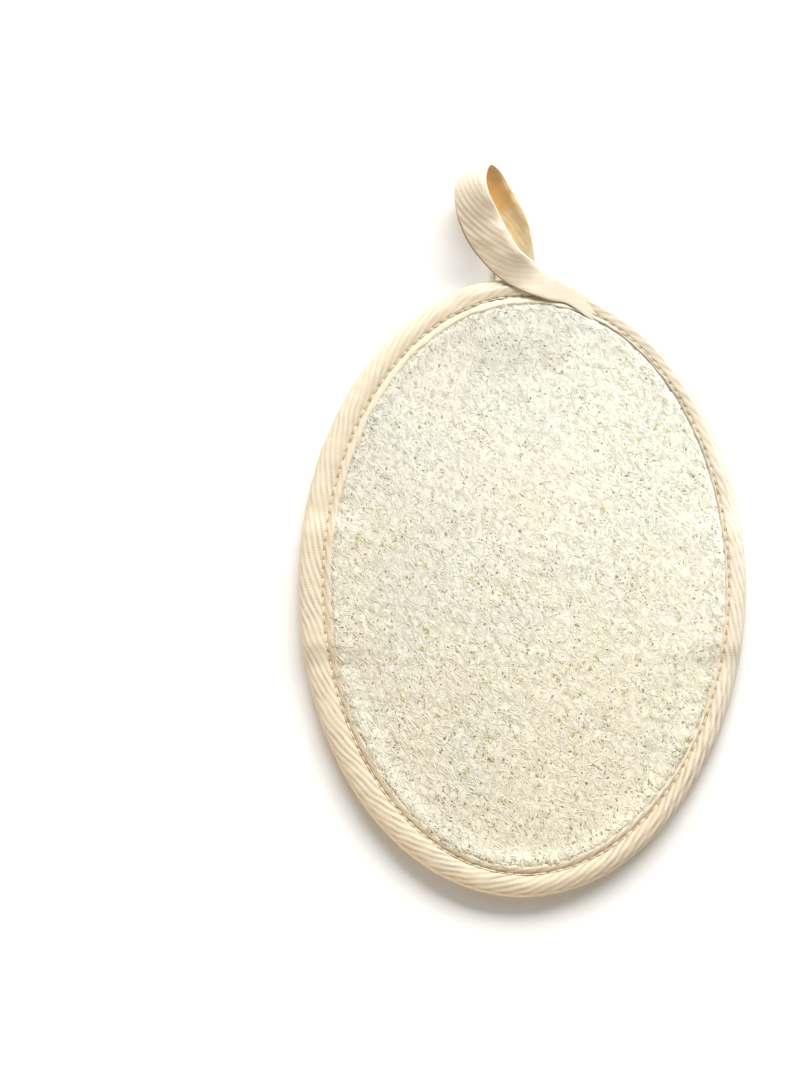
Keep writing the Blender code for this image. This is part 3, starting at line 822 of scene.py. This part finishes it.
def fibre_lines(draw, count, lengths, places):
    """Plan points of short bent strands at these places, kept clear of the seam."""
    middle_x, middle_y = places(draw, count)
    kind = draw.uniform(0, 1, count)
    heading = np.where(kind < 0.7, draw.normal(FIBRE_LAY, 0.42, count), draw.uniform(0, math.pi, count))
    heading = np.where(kind > 0.86, draw.normal(math.pi / 2, 0.35, count), heading)
    length = draw.uniform(0, 1, count) ** 1.4 * (lengths[1] - lengths[0]) + lengths[0]
    share = np.linspace(-0.5, 0.5, FIBRE_POINTS)
    bend = draw.normal(0, FIBRE_BEND / 2, (count, 1))
    angle = heading[:, None] + bend * share
    step = length[:, None] / (FIBRE_POINTS - 1)
    x = np.cumsum(np.cos(angle) * step, axis=1)
    y = np.cumsum(np.sin(angle) * step, axis=1)
    x += (middle_x - x.mean(axis=1))[:, None]
    y += (middle_y - y.mean(axis=1))[:, None]
    pull = np.maximum(0.0, FIBRE_TUCK * face_margin(plan_angle(x, y)) - seam_place(x, y)[1])
    outward = unit(np.stack((x / PAD_WIDTH ** 2, y / PAD_LENGTH ** 2), axis=-1))
    return x - outward[..., 0] * pull, y - outward[..., 1] * pull


def add_fibres(name, layer, lengths, places, finish):
    """One layer of short strands, each with its own tone."""
    seed, count, lift, half_thick = layer
    draw = np.random.default_rng(seed)
    x, y = fibre_lines(draw, count, lengths, places)
    share = np.linspace(-0.5, 0.5, FIBRE_POINTS)
    phase = draw.uniform(0, 2 * math.pi, (count, 1))
    weave = np.sin(phase + share * draw.uniform(3, 8, (count, 1))) * FIBRE_WEAVE
    z = mat_height(x, y) + lift + weave - half_thick * (2 * np.abs(share)) ** 4
    line = np.stack((x, y, z), axis=-1)
    ahead = unit(np.gradient(line, axis=1))
    side = unit(np.cross(ahead, (0.0, 0.0, 1.0)))
    above = np.cross(side, ahead)
    spread = 0.7 + 0.9 * draw.uniform(0, 1, (count, 1)) ** 1.8
    thick = half_thick * spread * (1.0 - 0.5 * (2 * np.abs(share)) ** 3)
    loose = smooth_step(-LOOSE_ACROSS * x - y, *LOOSE_REACH)
    softness = np.interp(loose, (0, 1), FIBRE_SOFTNESS)
    side_shade = np.interp(loose, (0, 1), FIBRE_SIDE_SHADE)
    corners = []
    normals = []
    for corner in range(FIBRE_SIDES):
        round_by = math.pi / 2 + 2 * math.pi * corner / FIBRE_SIDES
        offset = side * math.cos(round_by) + above * math.sin(round_by) * FIBRE_FLATNESS
        corners.append(line + offset * thick[..., None])
        normals.append(unit(above + side * math.cos(round_by) * softness[..., None]))
    row, column = grid_corners(FIBRE_POINTS, FIBRE_SIDES, False, True)
    size = FIBRE_POINTS * FIBRE_SIDES
    starts = np.arange(0, count * size, size)
    faces = (row * FIBRE_SIDES + column % FIBRE_SIDES + starts[:, None, None]).reshape(-1, 4)
    ring = np.arange(FIBRE_SIDES)
    first_caps = starts[:, None] + ring[::-1]
    last_caps = starts[:, None] + size - FIBRE_SIDES + ring
    caps = np.concatenate((first_caps, last_caps)).tolist()
    cells = math.ceil(math.sqrt(count))
    cell = np.stack(np.divmod(np.arange(count), cells), axis=-1)
    inside = np.stack((row / (FIBRE_POINTS - 1), column / FIBRE_SIDES), axis=-1) * 0.9 + 0.05
    uv = (inside[None] + cell[:, None, None]).reshape(-1, 4, 2) / cells
    # The side corners get painted shade; the rest differs at random from strand to strand
    sides = side_shade[..., None] * np.array((0.0, 1.0, 1.0))
    tone_and_shade = np.clip(draw.beta(2.8, 1.6, (count, 1, 1)) + sides, 0.0, 1.0)
    return add_piece(
        name, np.stack(corners, axis=2), faces, caps, finish, "loofah_face",
        {UV_MAP: uv}, {"tone_and_shade": tone_and_shade}, np.stack(normals, axis=2),
    )


def add_loofah():
    add_loofah_mat()
    finish = loofah_fibre_finish()
    for number, layer in enumerate(FIBRE_LAYERS, start=1):
        add_fibres(f"loofah_fibres_{number}", layer, FIBRE_LENGTH, strewn, finish)
    # Dark specks as painted shade in the net's pits
    shade_specks = husk_and_shade_speck_finish("loofah_pit_shade_specks", "#3f3823", "#b1a988")
    add_fibres("loofah_pit_shade", SHADE_SPECK_LAYER, SHADE_SPECK_LENGTH, in_patches, shade_specks)
    husk = husk_and_shade_speck_finish("dried_loofah_husk", "#958d48", "#dad39c")
    add_fibres("loofah_husk", HUSK_LAYER, HUSK_LENGTH, by_husks, husk)


# Twill binding

RING_ROWS = 620
RING_STEPS = 8
RING_RIDGES = 93
RIDGE_HEIGHT = 0.07 * MM
TWILL_ANGLE = math.radians(18)
# Slip of the yarns' hatching from one ridge to the next, as an angle of its wave
YARN_SLIP = 2.4
# Flat width of the tape, and its lengths: the oval's girth, and the loop's route with a guess for its ends
# Control points of the cross-section that lie on the face, counted from its inner edge
FACE_CONTROLS = 9
STITCH_LENGTH = 2.85 * MM
HOLE_DEPTH = 0.22 * MM
HOLE_RADIUS = 0.50 * MM
LEAST_HEIGHT = 0.03 * MM
# Where the light fills the groove, as an angle round the pad
GROOVE_FAINT = math.radians(128)
GROOVE_FAINT_REACH = math.radians(42)


def rim_angles(count):
    """Angles at equal steps along the outline."""
    fine = np.linspace(0, 2 * math.pi, 4001)
    outline = rim_point(fine, np.zeros_like(fine))
    along = np.concatenate(([0.0], np.cumsum(np.linalg.norm(np.diff(outline, axis=0), axis=1))))
    return np.interp(np.arange(count) / count * along[-1], along, fine), along[-1]


def at_inset(height, angle, inset):
    point = rim_point(angle, inset)
    return height(point[..., 0], point[..., 1])


def ring_controls(angle):
    """Control points of the tape's cross-section, as inset and height: the outside, then the inside."""
    seam = seam_inset(angle)
    shoulder = seam - GROOVE_HALF
    edge = np.full_like(angle, EDGE_INSET_INNER)
    rim = rim_point(angle, seam)
    margin = face_margin(angle) * (1 + 0.1 * wobble(rim[:, 0], rim[:, 1], 11 * MM, 24))
    front = seam + margin
    back = seam + BACK_MARGIN
    seam_face = at_inset(loofah_top, angle, seam) + GAP
    edge_face = at_inset(loofah_top, angle, edge) + GAP
    front_face = at_inset(loofah_top, angle, front) + GAP
    seam_back = at_inset(back_tape_bottom, angle, seam)
    edge_back = at_inset(back_tape_bottom, angle, edge)
    back_back = at_inset(back_tape_bottom, angle, back)
    crown = edge_face + TAPE_THICK
    zero = np.zeros_like(angle)
    outside = (
        (front, front_face + 0.06 * TAPE_THICK),
        (front - 0.29 * margin, front_face + 0.45 * TAPE_THICK),
        (front - 0.57 * margin, (front_face + seam_face) / 2 + 0.86 * TAPE_THICK),
        (seam + 0.18 * margin, seam_face + 1.02 * TAPE_THICK),
        (seam, seam_face + 0.85 * TAPE_THICK),
        (seam - 0.55 * MM, seam_face + 1.25 * TAPE_THICK),
        (shoulder - 0.9 * MM, crown + 0.18 * MM),
        (zero + 2.3 * MM, crown - 0.10 * MM),
        (zero + 0.75 * MM, crown - 0.95 * MM),
        (zero, edge_back * 0.5 + crown * 0.5),
        (zero + 0.7 * MM, edge_back + 0.85 * MM),
        (zero + 2.3 * MM, edge_back + 0.03 * MM),
        (shoulder, edge_back),
        (seam, seam_back),
        (seam + GROOVE_HALF, back_back),
        (back - 0.4 * MM, back_back),
        (back, back_back + 0.5 * TAPE_THICK),
    )
    inside = (
        (back - 0.3 * MM, back_back + TAPE_THICK),
        (seam, seam_back + TAPE_THICK),
        (edge, edge_back + TAPE_THICK),
        (zero + TAPE_THICK, edge_back + 1.9 * MM),
        (zero + TAPE_THICK, edge_face - 1.4 * MM),
        (edge, edge_face),
        (seam, seam_face),
        (front - 0.3 * MM, front_face),
    )
    return np.array(outside), np.array(inside)


def twill_ridge(phase):
    """Height of the ridges from 0 in a valley to 1 on a crest."""
    return (0.5 - 0.5 * np.cos(2 * math.pi * phase)) ** 0.8


def add_binding(finish):
    """Tape folded over the rim, with its ridges, its seam's groove and the needle holes."""
    angle, girth = rim_angles(RING_ROWS)
    outside, inside = ring_controls(angle)
    outer = np.einsum("pk,kva->apv", spline_weights(len(outside), RING_STEPS), outside)
    spots = np.repeat(angle[:, None], outer.shape[1], axis=1)
    points = np.concatenate((rim_point(spots, outer[..., 0]), outer[..., 1:]), axis=-1)
    across = np.cumsum(np.linalg.norm(np.diff(points, axis=1, prepend=points[:, :1]), axis=-1), axis=1)
    turn = np.arange(RING_ROWS)[:, None] / RING_ROWS
    drift = wobble(turn * girth + 0 * across, across, 30 * MM, 22) * 0.22
    phase = across * math.cos(TWILL_ANGLE) / (TWILL_PITCH * MM) + RING_RIDGES * turn + drift
    ridge = twill_ridge(phase)
    inset = outer[..., 0] - seam_inset(angle)[:, None]
    face_side = np.arange(outer.shape[1])[None, :] < FACE_CONTROLS * RING_STEPS
    margin = smooth_step(inset, 0.3 * MM, 1.0 * MM) * face_side
    ridge = ridge * (1 - 0.4 * margin) + 0.35 * margin
    faint = np.exp(-((angle[:, None] - GROOVE_FAINT) / GROOVE_FAINT_REACH) ** 2)
    stitches = round(girth / STITCH_LENGTH)
    hole_at = np.abs((turn * stitches + 0.5) % 1.0 - 0.5) * STITCH_LENGTH
    hole = np.exp(-(inset / HOLE_RADIUS) ** 2 - (hole_at / HOLE_RADIUS) ** 2)
    along_rim = np.gradient(np.concatenate((points[-1:], points, points[:1])), axis=0)[1:-1]
    outward = unit(np.cross(np.gradient(points, axis=1), along_rim))
    uneven = wobble(turn * girth + 0 * across, across, 9 * MM, 21) * 0.12 * MM
    push = RIDGE_HEIGHT * (ridge - 0.5) + uneven * face_side - HOLE_DEPTH * hole
    fade = smooth_step(np.minimum(across, across[:, -1:] - across), 0.0, 0.8 * MM)
    if outward[0, FACE_CONTROLS * RING_STEPS, 0] < 0:
        outward = -outward
    points = points + outward * (push * fade)[..., None]
    points[..., 2] = np.maximum(points[..., 2], LEAST_HEIGHT)
    inner_spots = np.repeat(angle[:, None], len(inside), axis=1)
    inner = inside.transpose(2, 0, 1)
    inner = np.concatenate((rim_point(inner_spots, inner[..., 0]), inner[..., 1:]), axis=-1)
    points = np.concatenate((points, inner), axis=1)
    extra = len(inside) + 1
    rounds = np.arange(RING_ROWS + 1)[:, None] / RING_ROWS
    across = np.concatenate((across, across[:1]))
    # Less painted shade in the valleys where the light fills the groove
    ridge = 1 - (1 - ridge) * (1 - 0.5 * faint)
    ridge = np.concatenate((ridge, ridge[:1]))
    along_ridge = rounds * girth * math.cos(TWILL_ANGLE) - across * math.sin(TWILL_ANGLE)
    weave = np.stack((along_ridge, np.floor(across / (TWILL_PITCH * MM)) * YARN_SLIP, ridge), axis=-1)
    weave = np.pad(weave, ((0, 0), (0, extra), (0, 0)), mode="edge")
    # Painted shade in the seam's groove and its needle holes, patchy along the rim and weaker where the
    # light fills the groove
    groove_shade_patches = np.clip(0.7 + 0.5 * wobble(turn * girth, 0 * turn, 24 * MM, 23), 0.25, 1.0)
    line = np.exp(-(inset / (0.32 * MM)) ** 2) * 0.34 * groove_shade_patches
    shade = np.clip(np.maximum(line, hole * 0.55) * (1 - 0.75 * faint), 0.0, 1.0)
    shade = np.pad(shade, ((0, 0), (0, extra - 1)))
    return add_sweep(
        "binding_tape_rim", points, True, finish, "binding_tape",
        {"weave": weave}, {"shade": shade, "glow": 0 * shade},
    )


# Hanging loop: each row has its middle, direction across, width and thickness in millimetres
LOOP_ROUTE = (
    ((21.8, 79.7, 5.45), (0.48, 0.88, 0.00), 6.0, 0.5),
    ((14.2, 84.3, 6.64), (0.31, 0.95, -0.04), 5.6, 1.2),
    ((8.2, 86.6, 8.25), (0.22, 0.97, 0.00), 8.0, 1.7),
    ((2.0, 89.4, 8.80), (0.38, 0.91, 0.10), 9.5, 1.8),
    ((-4.3, 93.8, 10.60), (0.68, 0.58, 0.45), 11.3, 1.8),
    ((-9.3, 99.9, 11.80), (0.74, 0.53, 0.42), 12.5, 1.8),
    ((-12.3, 105.3, 12.80), (0.85, 0.43, 0.30), 12.5, 1.8),
    ((-14.6, 111.6, 13.90), (0.80, 0.25, 0.54), 12.5, 1.8),
    ((-15.2, 117.0, 13.20), (0.70, 0.18, 0.69), 12.5, 1.8),
    ((-13.5, 120.3, 10.20), (0.66, 0.30, 0.69), 12.5, 1.8),
    ((-10.4, 118.0, 7.20), (0.67, 0.36, 0.65), 12.5, 1.8),
    ((-7.2, 112.9, 5.80), (0.68, 0.36, 0.64), 12.5, 1.8),
    ((-4.0, 106.6, 5.00), (0.76, 0.30, 0.57), 12.5, 1.8),
    ((-2.8, 99.6, 3.40), (0.93, 0.13, 0.33), 12.5, 1.8),
    ((-2.15, 93.0, 1.65), (1.00, 0.00, 0.06), 12.5, 1.8),
    ((-2.15, 90.6, 1.10), (1.00, 0.00, 0.00), 12.5, 1.8),
    ((-2.15, 88.2, 0.98), (1.00, 0.00, 0.00), 12.5, 1.8),
    ((-2.15, 85.6, 0.98), (1.00, 0.00, 0.00), 12.5, 1.8),
    ((-2.15, 84.2, 1.30), (1.00, 0.00, 0.00), 12.5, 1.0),
    ((-2.15, 82.6, 1.20), (1.00, 0.00, 0.00), 12.5, 1.8),
    ((-2.15, 79.6, 2.60), (1.00, 0.00, 0.00), 12.5, 1.8),
    ((-2.15, 76.2, 2.90), (1.00, 0.00, 0.00), 12.5, 1.8),
)
LOOP_STEPS = 14
LOOP_FACE_POINTS = 44
LOOP_FOLD_POINTS = 7
LOOP_FOLD_ROUND = 0.6
LOOP_SLIT = 0.05
LOOP_TWILL_ANGLE = math.radians(26)


def fold_outline():
    """Cross-section of tape folded in two, in half widths and half thicknesses, open at the left edge."""
    reach = np.linspace(-1.0, 1.0, LOOP_FACE_POINTS)
    turn = np.linspace(math.pi / 2, -math.pi / 2, LOOP_FOLD_POINTS + 2)[1:-1]
    fold = np.stack((np.ones_like(turn), np.sin(turn)), axis=-1)
    bulge = np.cos(turn)
    top = np.stack((reach, np.ones_like(reach)), axis=-1)
    slit = np.linspace(0.86, -0.99, 6)
    upper_slit = np.stack((slit, np.full_like(slit, LOOP_SLIT)), axis=-1)
    lower_slit = np.stack((slit[::-1], np.full_like(slit, -LOOP_SLIT)), axis=-1)
    outline = np.concatenate((top, fold, top[::-1] * (1, -1), lower_slit, upper_slit))
    return outline, bulge


def add_loop(finish):
    """The tape folded in two lengthwise: out of the face band, round the loop and back under the rim."""
    weights = spline_weights(len(LOOP_ROUTE), LOOP_STEPS)
    middle = weights @ np.array([row[0] for row in LOOP_ROUTE]) * MM
    across = weights @ np.array([row[1] for row in LOOP_ROUTE])
    halves = weights @ np.array([row[2:] for row in LOOP_ROUTE]) * MM / 2
    ahead = unit(np.gradient(middle, axis=0))
    side = unit(across - ahead * np.einsum("ij,ij->i", across, ahead)[:, None])
    face = np.cross(ahead, side)
    along = np.cumsum(np.linalg.norm(np.diff(middle, axis=0, prepend=middle[:1]), axis=1))
    outline, bulge = fold_outline()
    wide = halves[:, 0][:, None]
    thick = halves[:, 1][:, None]
    reach = outline[None, :, 0] * (wide - thick * LOOP_FOLD_ROUND)
    first = LOOP_FACE_POINTS
    reach[:, first:first + LOOP_FOLD_POINTS] += bulge * thick * LOOP_FOLD_ROUND
    rise = outline[None, :, 1] * thick
    round_off = np.abs(outline[None, :, 0]) ** 10
    rise = rise * (1.0 - 0.35 * round_off)
    shown = np.zeros(len(outline), bool)
    shown[:2 * LOOP_FACE_POINTS + LOOP_FOLD_POINTS] = True
    ridge_across = -reach * np.sign(outline[None, :, 1])
    phase = ridge_across * math.cos(LOOP_TWILL_ANGLE) + along[:, None] * math.sin(LOOP_TWILL_ANGLE)
    ridge = twill_ridge(phase / (TWILL_PITCH * MM))
    edge = 1.0 - smooth_step(np.abs(outline[None, :, 0]), 0.78, 0.96)
    edge = edge * (0.3 + 0.7 * smooth_step(along[:, None], 20 * MM, 38 * MM))
    # Less ridge relief and less painted valley shade where the loop has its painted light
    soaked = (outline[None, :, 1] > 0) * band(along[:, None], 57 * MM, 62 * MM, 74 * MM, 80 * MM)
    edge = edge * (1 - 0.85 * soaked)
    rise = rise + np.sign(outline[None, :, 1]) * RIDGE_HEIGHT * (ridge - 0.5) * shown * edge
    crease = wobble(reach, along[:, None] + 0 * reach, 7 * MM, 31) * 0.14 * MM
    rise = rise + crease * smooth_step(along[:, None], 12 * MM, 22 * MM)
    points = middle[:, None] + side[:, None] * reach[..., None] + face[:, None] * rise[..., None]
    points[..., 2] = np.maximum(points[..., 2], LEAST_HEIGHT)
    # Painted shade in the ridges' valleys, less at the edges and where the painted light is
    tone_and_shade = 1 - 0.55 * edge * (1 - ridge)
    slip = np.floor(phase / (TWILL_PITCH * MM)) * YARN_SLIP
    weave = np.stack((along[:, None] + 0 * reach, slip, tone_and_shade), axis=-1)
    weave = np.concatenate((weave, weave[:, :1]), axis=1)
    shade, glow = loop_painted_light_and_shade(outline, along[:, None], ridge)
    return add_sweep(
        "binding_tape_loop", points, False, finish, "binding_tape",
        {"weave": weave}, {"shade": shade, "glow": glow},
    )


def loop_painted_light_and_shade(outline, along, ridge):
    """Where the loop has painted shade, brown along its open edge and on the near leg's left part, and
    painted light, golden where light would soak through it.
    """
    reach = outline[None, :, 0]
    inner = outline[None, :, 1] > 0
    # Painted light: golden, then straw yellow, on the far leg's inner face, as if light soaked through the
    # tape
    golden = band(along, 56 * MM, 60 * MM, 76 * MM, 83 * MM)
    golden = golden * (1 - smooth_step(reach, 0.86, 0.98))
    straw = band(along, 58 * MM, 63 * MM, 86 * MM, 96 * MM)
    left = 1 - smooth_step(reach, -0.2, 0.7)
    bend = band(along, 40 * MM, 50 * MM, 58 * MM, 64 * MM)
    glow = np.maximum(0.95 * golden, 0.70 * straw) * inner
    # Painted shade: on the near leg's left part and in its valleys, and a brown line along its open edge
    lower = band(along, 36 * MM, 44 * MM, 50 * MM, 56 * MM)
    left_shade = (0.30 * lower * (1 - ridge) + 0.10 * bend) * left * (1 - inner)
    wall = smooth_step(-reach, 0.86, 0.96) * (1 - inner) * band(along, 12 * MM, 18 * MM, 46 * MM, 54 * MM)
    return np.clip(np.maximum(left_shade, 0.85 * wall), 0.0, 1.0), np.clip(glow, 0.0, 1.0)


# Sewing thread

THREAD_RADIUS = 0.23 * MM
THREAD_SIDES = 6
STITCH_POINTS = 8
STITCH_DIVE = 0.45 * MM
# Angles round the pad between which the loop's root covers the face seam
LOOP_ROOT = (math.radians(70), math.radians(95))
TACK_Y = 84.2 * MM
TACK_HALF_LENGTH = 5.6 * MM
TACK_STITCHES = 6


def thread_tube(line):
    """Thread's round cross-sections along a line of points."""
    ahead = unit(np.gradient(line, axis=0))
    side = unit(np.cross(ahead, (0.0, 0.0, 1.0)))
    above = np.cross(side, ahead)
    turns = np.arange(THREAD_SIDES) * 2 * math.pi / THREAD_SIDES
    ring = side[:, None] * np.cos(turns)[None, :, None] + above[:, None] * np.sin(turns)[None, :, None]
    return line[:, None] + ring * THREAD_RADIUS


def add_seam_thread(name, face_up, finish, node):
    """Row of stitches in the seam's groove, each diving into the tape at its ends."""
    girth = rim_angles(10)[1]
    stitches = round(girth / STITCH_LENGTH)
    count = stitches * STITCH_POINTS
    angle = rim_angles(count)[0]
    share = np.arange(count) / STITCH_POINTS % 1.0
    arch = np.sin(math.pi * share) ** 0.7
    point = rim_point(angle, seam_inset(angle))
    if face_up:
        level = loofah_top(point[:, 0], point[:, 1]) + GAP + TAPE_THICK
        height = level + THREAD_RADIUS * 0.10 - STITCH_DIVE * (1.0 - arch)
    else:
        level = back_tape_bottom(point[:, 0], point[:, 1])
        height = level - THREAD_RADIUS * 0.35 + STITCH_DIVE * (1.0 - arch)
    line = np.concatenate((point, height[:, None]), axis=1)
    if face_up:
        first = int(np.searchsorted(angle, LOOP_ROOT[1]))
        last = int(np.searchsorted(angle, LOOP_ROOT[0]))
        line = np.concatenate((line[first:], line[:last]))
    return add_sweep(name, thread_tube(line), not face_up, finish, node)


def add_tack_thread(finish):
    """Row of stitches that holds the loop's tab down on the back."""
    count = TACK_STITCHES * STITCH_POINTS + 1
    share = np.arange(count) / (count - 1)
    arch = np.abs(np.sin(math.pi * share * TACK_STITCHES)) ** 0.7
    x = TAB_X + TACK_HALF_LENGTH * (2 * share - 1)
    z = 0.75 * MM - 0.35 * MM * arch
    line = np.stack((x, np.full(count, TACK_Y), z), axis=-1)
    return add_sweep(
        "loop_tack_stitches", thread_tube(line), False, finish, "loop_tack_thread",
    )


# Terry back

TERRY_GRID = (122, 166)
PILE_HEIGHT = 0.22 * MM
PILE_BASE = 0.12 * MM


def add_terry():
    """Terry cloth: its shown side is uneven with pile, its hidden side lies on the mat."""
    across, along = disc_grid(*TERRY_GRID)
    x = across * (PAD_WIDTH / 2 - MAT_INSET)
    y = along * (PAD_LENGTH / 2 - MAT_INSET)
    pile = 0.5 + 0.5 * wobble(x, y, 3.2 * MM, 43)
    shown = smooth_step(seam_place(x, y)[1], BACK_MARGIN * 0.7, BACK_MARGIN * 1.2)
    bottom = terry_bottom(x, y) + (PILE_BASE - PILE_HEIGHT * pile) * shown
    top = terry_top(x, y)
    cloth = add_layer("terry_cloth", x, y, bottom, top, terry_finish(), "terry_back")


# Elastic strap

STRAP_ROWS = 210
STRAP_COLUMNS = 78
STRAP_RIB_HEIGHT = 0.16 * MM


def add_strap():
    """Elastic webbing: ribs along both faces between two plain selvedges, sagging a little."""
    x = np.linspace(-STRAP_HALF_LENGTH, STRAP_HALF_LENGTH, STRAP_ROWS)[:, None]
    y = np.linspace(-STRAP_WIDTH / 2, STRAP_WIDTH / 2, STRAP_COLUMNS)[None, :]
    selvedge = smooth_step(STRAP_WIDTH / 2 - np.abs(y), 1.2 * MM, 2.2 * MM)
    rib = np.abs(np.cos(math.pi * y / (WEBBING_RIB * MM))) ** 0.8
    stagger = math.pi * np.floor(y / (WEBBING_RIB * MM) + 0.5)
    pick = 0.5 + 0.5 * np.sin(2 * math.pi * x / (WEBBING_PICK * MM) + stagger)
    relief = STRAP_RIB_HEIGHT * (rib * (0.7 + 0.3 * pick) * selvedge + (1 - selvedge) * 0.6)
    rounding = 1.0 - (np.abs(y) / (STRAP_WIDTH / 2)) ** 24 * 0.7
    middle = strap_bottom(x) + STRAP_THICK / 2
    half = (STRAP_THICK / 2 - STRAP_RIB_HEIGHT + relief) * rounding
    lower = np.stack(np.broadcast_arrays(x, y, middle - half), axis=-1)
    upper = np.stack(np.broadcast_arrays(x, y, middle + half), axis=-1)[:, ::-1]
    points = np.concatenate((lower, upper), axis=1)
    # Painted shade between the ribs and their stitches; the selvedges stay pale
    shade = np.broadcast_to(rib * (0.55 + 0.45 * pick) * selvedge + (1 - selvedge) * 0.9, half.shape)
    weave = np.stack(np.broadcast_arrays(x, y, shade), axis=-1)
    weave = np.concatenate((weave, weave[:, ::-1], weave[:, :1]), axis=1)
    strap = add_sweep(
        "elastic_hand_strap", points, False, webbing_finish(), "elastic_strap",
        {"weave": weave},
    )


# Studio

FLOOR_HALF = 3.0
FLOOR_DROP = 0.02 * MM
FRAME_PIXELS = (800, 1091)
PIXELS_PER_MM = 3.46
PAD_PIXEL = (522.8, 587.5)
CAMERA_HEIGHT = 1.6
FACE_LEVEL = 12 * MM
SENSOR = 36.0
AMBIENT = 0.15
# Direction, height, distance, width, depth, strength and colour of each lamp
KEY = (78.0, 31.0, 6.0, 7.0, 2.6, 750.0, "#fffefb")
PANEL = (90.0, 52.0, 5.0, 3.0, 3.0, 46.0, "#fdfeff")
FILL = (242.0, 13.0, 3.0, 2.4, 0.9, 62.0, "#ffe8cc")


def add_floor():
    """Pale paper, matt."""
    material, tree, shader = new_material("pale_paper")
    grain = add_node(tree, "TexNoise", {"Scale": 900.0, "Detail": 2.0})
    bump = add_node(tree, "Bump", {"Height": grain, "Strength": 0.05, "Distance": 0.02 * MM})
    set_inputs(tree, shader, {
        "Base Color": linear("#f1f1f0"), "Roughness": 0.9, "Normal": bump,
        "Specular IOR Level": 0.1,
    })
    mesh = bpy.data.meshes.new("floor")
    half = FLOOR_HALF
    corners = [(-half, -half, 0), (half, -half, 0), (half, half, 0), (-half, half, 0)]
    mesh.from_pydata(corners, [], [(0, 1, 2, 3)])
    mesh.materials.append(material)
    floor = add_object("floor", mesh)
    floor.location.z = cad_low.z - FLOOR_DROP


def add_softbox(name, azimuth, elevation, distance, width, depth, power, code):
    """Oval softbox that faces the pad from this direction."""
    turn = math.radians(azimuth)
    lift = math.radians(elevation)
    reach = distance * math.cos(lift)
    place = Vector((reach * math.cos(turn), reach * math.sin(turn), distance * math.sin(lift)))
    lamp = bpy.data.lights.new(name, "AREA")
    lamp.shape = "ELLIPSE"
    lamp.size = width
    lamp.size_y = depth
    lamp.energy = power
    lamp.color = linear(code)[:3]
    light = add_object(name, lamp)
    light.location = place
    light.rotation_euler = (-place).to_track_quat("-Z", "Y").to_euler()


def add_lights():
    """Long soft key and a panel from beyond the loop, weak light all round, and a low warm fill."""
    scene = bpy.context.scene
    world = bpy.data.worlds.new("studio")
    scene.world = world
    world.use_nodes = True
    background = world.node_tree.nodes["Background"]
    background.inputs["Color"].default_value = linear("#ffffff")
    background.inputs["Strength"].default_value = AMBIENT
    add_softbox("key", *KEY)
    add_softbox("panel", *PANEL)
    add_softbox("fill", *FILL)
    scene.view_settings.view_transform = "Standard"
    scene.view_settings.look = "None"


def add_camera():
    """Straight above, with the pad where the photograph has it."""
    off_x = (FRAME_PIXELS[0] / 2 - PAD_PIXEL[0]) / PIXELS_PER_MM * MM
    off_y = (PAD_PIXEL[1] - FRAME_PIXELS[1] / 2) / PIXELS_PER_MM * MM
    lens = bpy.data.cameras.new("camera")
    lens.sensor_width = SENSOR
    lens.lens = SENSOR * (CAMERA_HEIGHT - FACE_LEVEL) / (FRAME_PIXELS[1] / PIXELS_PER_MM * MM)
    lens.clip_start = 0.1
    lens.clip_end = 10.0
    camera = add_object("camera", lens)
    camera.location = (PAD_MIDDLE.x + off_x, PAD_MIDDLE.y + off_y, CAMERA_HEIGHT)
    bpy.context.scene.camera = camera


def main():
    add_loofah()
    add_terry()
    add_strap()
    tape = twill_finish()
    thread = thread_finish()
    rim = add_binding(tape)
    loop = add_loop(tape)
    face_thread = add_seam_thread("seam_stitches_face", True, thread, "seam_thread_face")
    back_thread = add_seam_thread("seam_stitches_back", False, thread, "seam_thread_back")
    tack_thread = add_tack_thread(thread)
    add_floor()
    add_lights()
    add_camera()


main()
